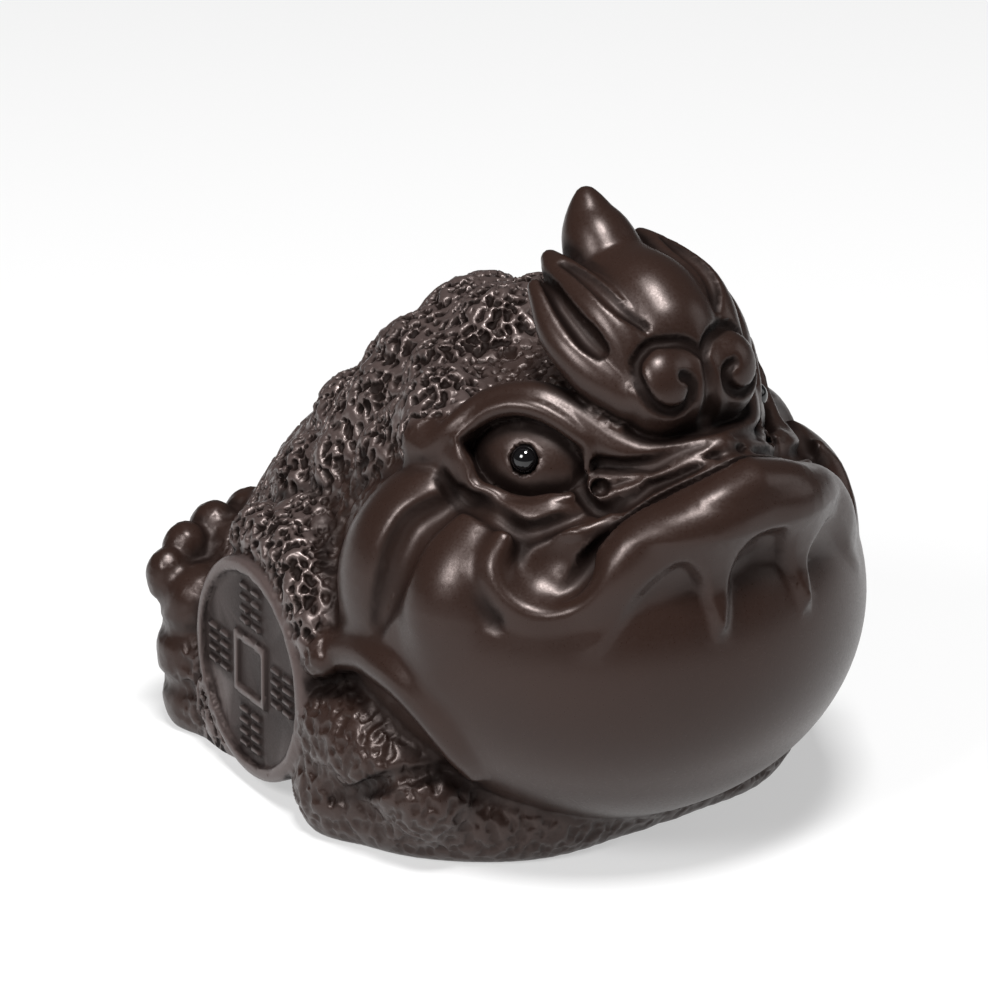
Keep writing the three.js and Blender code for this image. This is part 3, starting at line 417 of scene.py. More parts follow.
def eye(s):
    """An almond opening filled by the eyeball, the lids round it and the seat of the bead."""
    lid_radius = (EYE_WIDTH**2 + EYE_HEIGHT**2) / (4 * EYE_HEIGHT)
    lid_shift = lid_radius - EYE_HEIGHT / 2
    eyeball = ball(EYE_CENTRE - EYE_AXES[2] * EYEBALL_SUNK, EYEBALL_RADII, EYE_AXES)

    def almond(p):
        q = (p - EYE_CENTRE) @ EYE_AXES.T
        upper = np.hypot(q[:, 0], q[:, 1] + lid_shift)
        lower = np.hypot(q[:, 0], q[:, 1] - lid_shift)
        walls = np.maximum(np.maximum(upper, lower) - lid_radius, np.abs(q[:, 2]) - EYE_DEPTH)
        return np.maximum(walls, -eyeball.distance(p))

    def lid(way, out, radius):
        """Points along the upper or the lower edge of the opening, a little outside it."""
        rows = []
        for share in np.linspace(-1, 1, LID_POINTS):
            turn = share * math.asin(EYE_WIDTH / 2 / lid_radius)
            x = (lid_radius + out) * math.sin(turn)
            y = way * ((lid_radius + out) * math.cos(turn) - lid_shift)
            thick = radius * (1 - LID_SHARE * abs(share) ** 3)
            rows.append((*(EYE_CENTRE + EYE_AXES[0] * x + EYE_AXES[1] * y), thick))
        return rows

    reach = EYE_WIDTH / 2 + 2
    # A low mound under the eye, the eyeball, then the opening cut down to it
    s.add(ball(EYE_CENTRE - EYE_AXES[2] * 6, (9.5, 6.5, 6), EYE_AXES), 1.0)
    s.add(eyeball, 0.5)
    s.carve(Form(EYE_CENTRE - reach, EYE_CENTRE + reach, almond), 0.4, 0)
    s.ridge(lid(1, out=1, radius=1.1), 0.8, 0.4)
    s.ridge(lid(-1, out=1.2, radius=1.4), 1.2, 0.4)
    bag = [
        (26.8, -22, 53.5, 0.6), (26.2, -25.6, 51.6, 1.2), (25.6, -31, 50.9, 1.5),
        (23.9, -36, 50, 1.3), (19.7, -39.8, 52, 1.1), (16.9, -40.2, 52.7, 0.6),
    ]
    s.groove(bag, 1.3, 1.0)
    s.carve(ball(bead_centre(), [BEAD_RADIUS + BEAD_SEAT_GAP] * 3), 0.1)


def mouth(s):
    """The slit above the lip, the fold over it and the pocket at the corner."""
    slit = [
        (23.8, -43.6, 44, 1.2), (21.7, -43.9, 44.8, 1.6), (18.4, -44.6, 48, 1.6),
        (15.6, -46.2, 52, 1.2), (12.3, -47.2, 55, 0.9), (9.4, -48.4, 56.7, 0.8),
        (7.1, -49.6, 57.8, 0.7), (3.5, -50.6, 58.8, 0.6), (0, -51.2, 59.2, 0.6),
    ]
    s.groove(slit, 3, 0.4)
    fold = [
        (22.6, -39.4, 49.8, 0.4), (20, -41.4, 50.2, 1), (15.7, -43.3, 51.5, 1),
        (12.2, -44.2, 53.5, 1), (9.2, -45.2, 55.3, 0.9), (6.3, -47, 57, 0.8), (3, -48.8, 58.4, 0.5),
    ]
    s.ridge(fold, 0.9, 0.6)
    pocket = s.on_skin([(23.8, -41.6, 46)], 5)[0]
    s.carve(ball(pocket, (7.2, 7.2, 7)), 1.2)


def nostril(s):
    """A teardrop wing with its point to the front, a hole in its round end and folds round it."""
    over = [
        (14.6, -36.6, 57.4, 0.4), (12.6, -39.2, 58, 0.8), (11, -40.8, 58.2, 1),
        (8.3, -42.8, 58.5, 1), (5.5, -44.9, 59.2, 0.9), (2.5, -46.6, 60.2, 0.5),
    ]
    s.groove(over, 0.8, 0.9)
    wing = [
        (13.6, -38.9, 54.5, 3.3), (12.3, -40.6, 55.3, 3.1), (11, -42.6, 56, 2.4), (9.8, -44.4, 56.8, 1.3),
    ]
    s.ridge(wing, 1.8, 0.5)
    round_wing = [
        (13.4, -36.6, 57.4, 0.5), (14.4, -36.9, 56.2, 0.9), (15.2, -37.4, 54.6, 1),
        (15.4, -38.8, 52.8, 1), (15.2, -41.4, 52.6, 1), (13.6, -43.8, 53.6, 1),
        (12, -44.6, 54.8, 1), (10.3, -45.4, 56.3, 1), (7.8, -46.9, 57.8, 0.9),
        (4.8, -48, 58.9, 0.7), (2, -48.6, 59.6, 0.4),
    ]
    s.groove(round_wing, 1.2, 0.5, 36)
    before = [
        (9.4, -44.6, 56.9, 0.5), (7.6, -46, 57.6, 0.8), (5.2, -47.4, 58.4, 0.8), (2.6, -48.6, 59.2, 0.4),
    ]
    s.ridge(before, 0.6, 0.4)
    s.groove([(13.6, -40.4, 55.2, 0.6), (12, -42, 56, 0.5), (10.6, -43.8, 56.8, 0.3)], 0.6, 0.3)
    hole = s.on_skin([(14.2, -40, 55.2)], -0.6)[0]
    s.carve(ball(hole, (1.2, 1.2, 1.2)), 0.3)


def arms(s):
    """Arms lie bent along the ground, with a smooth fold of skin over each."""
    upper = [(33.5, -9.5, 15.2, 7.5), (33.5, -16, 14.8, 7.5), (32.5, -21, 12.6, 7), (31, -25, 9.7, 6.5)]
    lower = [(32.5, -9, 6, 8.5), (28, -21, 6, 8), (17.5, -29.5, 5.8, 7.6), (3, -32, 4.6, 5.6)]
    s.add(roll([(31.2, -11, 14.3, 7.8), (31.2, -9.5, 6.5, 9.9)]), 1, 0.5)
    s.add(roll(upper), 2, 0.5)
    s.add(roll(lower), 1.2, 0.5)
    elbow = [
        (40, -13.9, 7.1, 0.5), (39.1, -18.3, 9.7, 1.1), (38.4, -24.8, 13.6, 1.3),
        (36.1, -27.1, 14.6, 1.2), (31.5, -29.3, 15.2, 0.6),
    ]
    s.groove(elbow, 1.2, 1.0)
    fold = [
        (38, -7, 23.2, 1.2), (38.2, -9.8, 26, 2.2), (37.4, -12.5, 27.9, 2.8),
        (36.8, -17.1, 29.1, 2.9), (36.9, -21.2, 29.1, 2.9), (36.8, -24.7, 28.6, 2.9),
        (36.3, -27.5, 27.2, 2.8), (34.5, -31.2, 23.2, 2.6), (32.3, -32.5, 19, 2.3),
        (30.1, -32.8, 15.8, 1.6),
    ]
    s.ridge(fold, 1.9, 1.6)


# The coin seal: its place and the way that it faces, then its sizes
COIN_POINT = np.array((36, 8.4, 17.9))
COIN_AXES = frame_of((1, 0.115, 0.02), (0, 1, 0))
COIN_RADIUS = 16.2
COIN_PROUD = 2.4
COIN_ROOT = 9
COIN_RIM = 2.2
COIN_SINK = 0.9
SQUARE_SIDE = 8.2
SQUARE_LINE = 1.3
STROKE_WIDTH = 0.8
STROKE_HEIGHT = 0.6
STROKE_LENGTH = 2.7
STROKE_PITCH = 1.7
STROKE_ROWS = 4
STROKE_COLUMNS = 2
# How far outside the middle of the field the groups of strokes stand
STROKE_SHIFT = 0.3
# Width of the soft edge of the coin's paler tone
PALE_COIN_EDGE = 0.4


def disc(radius, low, high, rounding):
    """A round disc in the coin's frame between two heights over the skin."""
    middle = COIN_POINT + COIN_AXES[2] * (low + high) / 2
    half = (high - low) / 2

    def distance(p):
        q = (p - middle) @ COIN_AXES.T
        side = np.hypot(q[:, 0], q[:, 1]) - (radius - rounding)
        face = np.abs(q[:, 2]) - (half - rounding)
        outside = np.hypot(np.maximum(side, 0), np.maximum(face, 0))
        return outside + np.minimum(np.maximum(side, face), 0) - rounding

    return Form(middle - radius - half, middle + radius + half, distance)


def coin_marks():
    """Raised marks in the coin's field: a square in the middle and four groups of short strokes."""
    half = SQUARE_SIDE / 2
    bars = []
    for way in (-1, 1):
        bars.append((way * half, 0, SQUARE_LINE, SQUARE_SIDE + SQUARE_LINE))
        bars.append((0, way * half, SQUARE_SIDE + SQUARE_LINE, SQUARE_LINE))
    middle = (half + COIN_RADIUS - COIN_RIM) / 2 + STROKE_SHIFT
    gap = STROKE_LENGTH + STROKE_WIDTH
    for cx, cy in ((middle, 0), (-middle, 0), (0, middle), (0, -middle)):
        for row in range(STROKE_ROWS):
            for column in range(STROKE_COLUMNS):
                x = cx + (column - (STROKE_COLUMNS - 1) / 2) * gap
                y = cy + (row - (STROKE_ROWS - 1) / 2) * STROKE_PITCH
                bars.append((x, y, STROKE_LENGTH, STROKE_WIDTH))
    level = COIN_PROUD - COIN_SINK

    def distance(p):
        q = (p - COIN_POINT) @ COIN_AXES.T
        best = np.full(len(p), FAR)
        for x, y, width, height in bars:
            beside = np.abs(q[:, 0] - x) - width / 2
            above = np.abs(q[:, 1] - y) - height / 2
            best = np.minimum(best, np.maximum(beside, above))
        return np.maximum(best, np.abs(q[:, 2] - level) - STROKE_HEIGHT)

    return Form(COIN_POINT - COIN_RADIUS, COIN_POINT + COIN_RADIUS, distance)


def coin(s):
    s.add(disc(COIN_RADIUS, -COIN_ROOT, COIN_PROUD, 1.2), 0.8)
    s.carve(disc(COIN_RADIUS - COIN_RIM, COIN_PROUD - COIN_SINK, COIN_PROUD + 3, 0.3), 0.4)
    s.add(coin_marks(), 0.2)


def coin_share(points):
    """1 on either coin and 0 off it, with a soft edge."""
    seal = disc(COIN_RADIUS, 0, COIN_PROUD, 0)
    right, left = (smooth_step(PALE_COIN_EDGE, 0, seal.distance(points * (way, 1, 1))) for way in (-1, 1))
    return np.maximum(right, left)


# Middle of the scroll on its own side: x and z
SCROLL_CENTRE = (5.4, 68.8)
# The scroll's spiral: angle in degrees from the middle of the crest and radius
SCROLL = ((8, 6.4), (50, 5.6), (90, 4.6), (180, 4.3), (270, 3.5), (350, 2.6), (400, 1.5))
SCROLL_SAMPLES = 33
# Where the skin in front of the scroll is looked for along y, and at how many places
SCROLL_SEARCH = (-60, -20, 401)
# The scroll's cut: depth of its middle line and radius
SCROLL_CUT = (0.15, 0.75)
CREST_LEAN = math.radians(25)


def crest(s):
    """A flame crest: a horn between two pairs of lobes, over two scrolls."""
    cos, sin = math.cos(CREST_LEAN), math.sin(CREST_LEAN)
    s.add(ball((0, -34, 68), (9.8, 11.5, 8.8), [(1, 0, 0), (0, cos, sin), (0, -sin, cos)]), 1.0)
    s.add(ball((5.2, -40.5, 66.8), (5.2, 4.5, 6.2)), 0.8)
    horn = [
        (0, -34.1, 72.2, 7.6), (0, -31, 74.4, 7.5), (0, -26.6, 75.7, 6.7), (0, -23.6, 77.3, 5.9),
        (0, -21, 80.8, 5), (0, -19.6, 82.6, 4), (0, -18.7, 84.9, 2.7), (0, -18.2, 86.4, 1.7),
    ]
    s.add(roll(horn, 32), 1.5)
    upper = [
        (7.7, -20.3, 80, 1.3), (7.9, -22.9, 78.7, 2.4), (8.1, -26.9, 77.3, 3.2),
        (8, -31.2, 75.7, 3.7), (7.5, -34.4, 73.2, 4), (6.6, -37, 69.8, 4.2),
    ]
    s.add(roll(upper), 0.6)
    lower = [
        (11.9, -22.7, 77.5, 1.2), (12.2, -24.9, 75.9, 1.9), (12.7, -28.3, 73, 2.6),
        (12.3, -31.5, 70.8, 3), (10.8, -34.6, 68.4, 3.5), (8, -38, 66.2, 3.8),
    ]
    s.add(roll(lower), 0.6)
    s.add(roll([(10.2, -23, 76, 2), (10.2, -28, 73.8, 3), (9.5, -33, 71, 3.6)]), 1)
    valley_between = [
        (10.2, -22.2, 78, 0.7), (10.9, -25.4, 77, 1), (11.3, -28.2, 75.8, 1.2),
        (11.3, -31, 74.4, 1.4), (11, -33.6, 73, 1.6), (10.4, -35, 72.2, 1.2),
    ]
    s.groove(valley_between, 1.6, 0.5)
    valley_beside = [
        (8.6, -24.3, 80.8, 0.7), (8.4, -27.2, 80.5, 1), (8.4, -30.7, 79.8, 1.2),
        (8.3, -33.6, 78.6, 1.2), (7.6, -36, 77, 1), (5.9, -38, 75, 0.5),
    ]
    s.groove(valley_beside, 1.2, 0.5)
    s.groove([(0, -45, 71, 0.8), (0, -45.6, 68.5, 1.1), (0, -45.4, 66, 1.3), (0, -44, 63, 1.8)], 1.3, 0.5)
    scroll(s)


def scroll(s):
    """A spiral cut, found on the skin from in front."""
    turn = curve(SCROLL, SCROLL_SAMPLES)
    angle = np.radians(turn[:, 0])
    x = SCROLL_CENTRE[0] - turn[:, 1] * np.cos(angle)
    z = SCROLL_CENTRE[1] + turn[:, 1] * np.sin(angle)
    y = np.linspace(*SCROLL_SEARCH)
    points = []
    for px, pz in zip(x, z):
        value = s.field(np.column_stack([np.full(len(y), px), y, np.full(len(y), pz)]))
        points.append((px, y[np.argmax(value < 0)], pz))
    depth, radius = SCROLL_CUT
    cut = np.column_stack([s.on_skin(points, -depth), np.full(SCROLL_SAMPLES, radius)])
    s.carve(roll(cut, SCROLL_SAMPLES), 0.5)


# Two rows of grains in the hollow between the brow and the crest: x, y, z near the skin
GRAIN_ROWS = (
    ((8.7, -23.8, 65.8), (10.1, -28.8, 65.3), (11, -33.3, 64.4), (10.6, -36.3, 63), (9.4, -38.3, 62)),
    ((10.8, -25, 65.2), (12.4, -29.5, 65.4), (12.8, -33.5, 64.4), (12, -36.4, 62.8), (10.6, -38.6, 61.6)),
)
GRAINS_IN_ROW = 9
GRAIN_RADIUS = 0.9
GRAIN_SUNK = 0.1


def grains(s):
    for row in GRAIN_ROWS:
        for point in s.on_skin(curve(row, GRAINS_IN_ROW), -GRAIN_SUNK):
            s.add(ball(point, [GRAIN_RADIUS] * 3), 0.3, 0.3)


# Lumps of the hide: x, y, z near the skin and the radius of each
WARTS = (
    (2, 8, 66, 8), (4, -4, 67, 8), (12, 7, 62, 7), (15, -4, 62.5, 7), (17, 7, 56, 7),
    (20, -12, 60, 6), (22, -5, 56, 6.5), (20, 10, 51, 7), (23, 9, 46, 6.5), (25, -2, 52, 6.5),
    (23, 18, 42, 7), (27, -15, 57, 5), (28, 8, 39, 6.5), (6, 20, 58, 8), (14, 20, 50, 7),
    (0, 28, 48, 8),
)
WART_PROUD = 2.4


def warts(s):
    for x, y, z, r in WARTS:
        s.add(ball(s.on_skin([(x, y, z)], WART_PROUD - r)[0], (r, r, r)), 1.5, 1)


# Smooth skin behind the eye, and on the bridge of the nose: centre and radii
BURNISHED = (((27.5, -21, 56.5), (8, 7, 6.5)), ((4, -43, 59), (12, 9, 6)))


def burnish(s):
    for centre, radii in BURNISHED:
        s.burnish(centre, radii)


FEATURES = (back_and_head, rump, cheeks, snout, drape, brow, eye, mouth, nostril)
FEATURES += (arms, coin, crest, grains, warts, burnish)

# Room that the toad is sculpted in
ROOM = ((-50, -64, -3), (50, 56, 92))
# Cells along the side of the first, coarse blocks, and the most cells along a side of the room
COARSE_BLOCK = 16
MOST_CELLS = 4096


def skin_mesh(s, low, high, step):
    """Closed mesh of the skin: one vertex in each grid cell that it crosses. The grid is even
    about x = 0, so that only one side of the toad is worked out."""
    low = np.round(np.array(low) / step).astype(int)
    high = np.round(np.array(high) / step).astype(int)
    size = COARSE_BLOCK
    axes = [np.arange(0, high[0] + size, size)]
    axes += [np.arange(low[k], high[k] + size, size) for k in (1, 2)]
    cells = np.stack(np.meshgrid(*axes, indexing="ij"), -1).reshape(-1, 3)
    # Blocks that the skin may cross are kept, with some room, and halved down to single cells
    while True:
        reach = size * step
        far = s.field((cells + size / 2) * step, margin=reach * 2 + 2)
        cells = cells[np.abs(far) < reach * 1.3 + 1]
        if size == 1:
            break
        size //= 2
        split = np.array([(i, j, k) for i in (0, size) for j in (0, size) for k in (0, size)])
        cells = (cells[:, None, :] + split).reshape(-1, 3)
    mirrored = cells * (-1, 1, 1) - (1, 0, 0)
    cells = np.vstack([cells, mirrored])
    corner = np.array([(i, j, k) for i in (0, 1) for j in (0, 1) for k in (0, 1)])
    corners = (cells[:, None, :] + corner).reshape(-1, 3)
    corners[:, 0] = np.abs(corners[:, 0])

    def key(c):
        """One whole number for each grid cell."""
        x, y, z = (c + MOST_CELLS // 2).T
        return (x * MOST_CELLS + y) * MOST_CELLS + z

    # The distance at each corner, worked out once, and the cells that the skin crosses
    _, first, inverse = np.unique(key(corners), return_index=True, return_inverse=True)
    value = s.field(corners[first] * step)[inverse.reshape(-1)].reshape(-1, 8)
    inside = value < 0
    crossed = inside.any(1) & ~inside.all(1)
    cells, value, inside = cells[crossed], value[crossed], inside[crossed]
    # Each vertex stands in the middle of the places where the skin cuts the edges of its cell
    total = np.zeros((len(cells), 3))
    count = np.zeros(len(cells))
    for a in range(8):
        for bit in (1, 2, 4):
            b = a | bit
            if a == b:
                continue
            cut = inside[:, a] != inside[:, b]
            t = np.where(cut, value[:, a] / np.where(cut, value[:, a] - value[:, b], 1), 0)
            total += np.where(cut[:, None], corner[a] + t[:, None] * (corner[b] - corner[a]), 0)
            count += cut
    points = (cells + total / count[:, None]) * step
    keys = key(cells)
    order = np.argsort(keys)
    ordered = keys[order]

    def vertex_of(c):
        place = np.searchsorted(ordered, key(c))
        return order[np.minimum(place, len(order) - 1)]

    # A face joins the four cells round each edge that the skin cuts
    quads = []
    for axis, bit in ((0, 4), (1, 2), (2, 1)):
        cut = inside[:, 0] != inside[:, bit]
        here = cells[cut]
        a = np.eye(3, dtype=int)[(axis + 1) % 3]
        b = np.eye(3, dtype=int)[(axis + 2) % 3]
        ring = np.stack([vertex_of(c) for c in (here, here - a, here - a - b, here - b)], 1)
        ring[~inside[cut, 0]] = ring[~inside[cut, 0]][:, ::-1]
        quads.append(ring)
    return points, np.vstack(quads)


# How far out of the skin the hollows are felt for, and how shut in the least and the deepest are
HOLLOW_REACHES = (1.2, 3.0)
HOLLOW_SHUT = (0.06, 0.5)


# What this gives darkens the clay's colour and cuts its shine as painted shade in the creases
def hollows(s, points, normals):
    """How shut in each point of the skin is, from 0 on open skin to 1 far down in a crease; the clay
    paints shade into creases by it.
    """
    shut = np.zeros(len(points))
    for reach in HOLLOW_REACHES:
        gap = s.field(points + normals * reach, margin=reach + 2)
        shut += np.clip(1 - gap / reach, 0, 1)
    return smooth_step(*HOLLOW_SHUT, shut / len(HOLLOW_REACHES))


# Blender helpers


def linear(hex_colour):
    """sRGB hex to linear RGBA."""
    values = [int(hex_colour[i : i + 2], 16) / 255 for i in (1, 3, 5)]
    return [v / 12.92 if v <= 0.04045 else ((v + 0.055) / 1.055) ** 2.4 for v in values] + [1.0]


def add_node(tree, kind, settings=None, **inputs):
    """Adds a node with its settings; an input is a value, or a node or a socket to link from."""
    node = tree.nodes.new(kind)
    for name, value in (settings or {}).items():
        setattr(node, name, value)
    for name, value in inputs.items():
        socket = node.inputs[int(name[1:])] if name[0] == "_" else node.inputs[name.replace("_", " ")]
        if isinstance(value, bpy.types.Node):
            value = value.outputs[0]
        if isinstance(value, bpy.types.NodeSocket):
            tree.links.new(value, socket)
        else:
            socket.default_value = value
    return node


def new_material(name):
    material = bpy.data.materials.new(name)
    material.use_nodes = True
    material.node_tree.nodes.clear()
    return material


def finish_material(tree, **inputs):
    shader = add_node(tree, "ShaderNodeBsdfPrincipled", **inputs)
    add_node(tree, "ShaderNodeOutputMaterial", Surface=shader)


def new_object(name, points, faces):
    mesh = bpy.data.meshes.new(name)
    mesh.from_pydata([tuple(p) for p in points], [], [tuple(f) for f in faces])
    mesh.update()
    thing = bpy.data.objects.new(name, mesh)
    bpy.context.scene.collection.objects.link(thing)
    return thing


def smooth(thing):
    mesh = thing.data
    mesh.polygons.foreach_set("use_smooth", [True] * len(mesh.polygons))


def apply_modifiers(thing):
    """Turns the evaluated object into a plain mesh."""
    graph = bpy.context.evaluated_depsgraph_get()
    made = bpy.data.meshes.new_from_object(thing.evaluated_get(graph))
    old = thing.data
    thing.modifiers.clear()
    thing.data = made
    made.name = thing.name
    bpy.data.meshes.remove(old)


def set_inputs(modifier, values):
    """Sets a modifier's inputs by their sockets' identifiers."""
    for item in modifier.node_group.interface.items_tree:
        if item.item_type == "SOCKET" and item.in_out == "INPUT" and item.name in values:
            modifier[item.identifier] = values[item.name]


# Settings of the Math and Vector Math nodes
ADD = {"operation": "ADD"}
SUBTRACT = {"operation": "SUBTRACT"}
MULTIPLY = {"operation": "MULTIPLY"}
MULTIPLY_ADD = {"operation": "MULTIPLY_ADD"}
DIVIDE = {"operation": "DIVIDE"}
MAXIMUM = {"operation": "MAXIMUM"}
POWER = {"operation": "POWER"}

# A noise bends the net of the pits: its scale, for waves of about 2.4 mm, and its reach in metres
PIT_BEND_SCALE = 420.0
PIT_BEND = 0.0022
# The net is squeezed upright, which draws the pits out downwards, and is a little uneven
PIT_SQUEEZE = (1.0, 1.0, 0.62)
PIT_UNEVENNESS = 0.9
# Where a pit's edge starts and where the pit is full, as distances in pits from its middle
CARVED_PIT = {"From_Min": 0.72, "From_Max": 0.26}
SHADED_PIT = {"From_Min": 0.62, "From_Max": 0.36}


def pit_cells(tree, place, density, seed):
    """Distance to the middle of the nearest pit of the hide, in pits."""
    add = partial(add_node, tree)
    noise = add("ShaderNodeTexNoise", Vector=place, Scale=PIT_BEND_SCALE, Detail=1.0)
    noise = noise.outputs["Color"]
    centred = add("ShaderNodeVectorMath", SUBTRACT, _0=noise, _1=(0.5, 0.5, 0.5))
    bent = add("ShaderNodeVectorMath", MULTIPLY_ADD, _0=centred, _1=(PIT_BEND,) * 3, _2=place)
    drawn = add("ShaderNodeVectorMath", MULTIPLY, _0=bent, _1=PIT_SQUEEZE)
    shift = add("ShaderNodeCombineXYZ", X=seed)
    shifted = add("ShaderNodeVectorMath", ADD, _0=drawn, _1=shift)
    cells = add(
        "ShaderNodeTexVoronoi",
        {"voronoi_dimensions": "3D", "feature": "F1"},
        Vector=shifted,
        Scale=density,
        Randomness=PIT_UNEVENNESS,
    )
    return cells.outputs["Distance"]


# Geometry Nodes tree of the hide: pits all over it, drawn out downwards, with finer lumps
def hide_tree():
    tree = bpy.data.node_groups.new("stippled_hide", "GeometryNodeTree")
    add = partial(add_node, tree)
    face = tree.interface
    face.new_socket("Geometry", in_out="INPUT", socket_type="NodeSocketGeometry")
    for name in ("Pit Spacing", "Pit Depth", "Lump Size", "Lump Height", "Seed"):
        face.new_socket(name, in_out="INPUT", socket_type="NodeSocketFloat")
    face.new_socket("Material", in_out="INPUT", socket_type="NodeSocketMaterial")
    face.new_socket("Geometry", in_out="OUTPUT", socket_type="NodeSocketGeometry")
    given = add("NodeGroupInput").outputs
    place = add("GeometryNodeInputPosition").outputs["Position"]
    named = add("GeometryNodeInputNamedAttribute", {"data_type": "FLOAT"}, Name="rough")
    hide = named.outputs["Attribute"]
    # Depth of the pits, all over the stippled hide
    density = add("ShaderNodeMath", DIVIDE, _0=1.0, _1=given["Pit Spacing"])
    cells = pit_cells(tree, place, density, given["Seed"])
    soft = {"interpolation_type": "SMOOTHSTEP"}
    pit = add("ShaderNodeMapRange", soft, Value=cells, **CARVED_PIT)
    pit = add("ShaderNodeMath", MULTIPLY, _0=pit, _1=hide)
    depth = add("ShaderNodeMath", MULTIPLY, _0=pit, _1=given["Pit Depth"])
    # Height of the lumps, from -1 to 1 before it is scaled
    lump_scale = add("ShaderNodeMath", DIVIDE, _0=1.0, _1=given["Lump Size"])
    noise = add(
        "ShaderNodeTexNoise",
        {"noise_dimensions": "4D"},
        Vector=place,
        W=given["Seed"],
        Scale=lump_scale,
        Detail=1.0,
    )
    centred = add("ShaderNodeMath", SUBTRACT, _0=noise.outputs["Fac"], _1=0.5)
    lumps = add("ShaderNodeMath", MULTIPLY, _0=centred, _1=2.0)
    lumps = add("ShaderNodeMath", MULTIPLY, _0=lumps, _1=hide)
    lumps = add("ShaderNodeMath", MULTIPLY, _0=lumps, _1=given["Lump Height"])
    height = add("ShaderNodeMath", SUBTRACT, _0=lumps, _1=depth)
    # The relief fades out close to the ground, so that the toad stands flat
    level = add("ShaderNodeSeparateXYZ", Vector=place).outputs["Z"]
    clear = add("ShaderNodeMapRange", Value=level, From_Min=0.8 * MM, From_Max=3 * MM)
    height = add("ShaderNodeMath", MULTIPLY, _0=height, _1=clear)
    # The shader finds the same pits by each point's place before the relief
    stored = add(
        "GeometryNodeStoreNamedAttribute",
        {"data_type": "FLOAT_VECTOR", "domain": "POINT"},
        Geometry=given["Geometry"],
        Name="skin_place",
        Value=place,
    )
    normal = add("GeometryNodeInputNormal")
    offset = add("ShaderNodeVectorMath", {"operation": "SCALE"}, _0=normal, Scale=height)
    moved = add("GeometryNodeSetPosition", Geometry=stored, Offset=offset)
    real = add("GeometryNodeRealizeInstances", Geometry=moved)
    painted = add("GeometryNodeSetMaterial", Geometry=real, Material=given["Material"])
    add("NodeGroupOutput", Geometry=painted)
    return tree


# How much of its palest colour the clay takes on ridges as a painted highlight, and of its darkest in pits
# and hollows as painted shade
RIDGE_HIGHLIGHT_SHARE = 0.7
PIT_SHADE_SHARE = 0.9
CREASE_SHADE_SHARE = 0.85
# The clay's clouds of tone and its grain
CLOUD_SIZE = 14.3 * MM
GRAIN_SIZE = 0.35 * MM


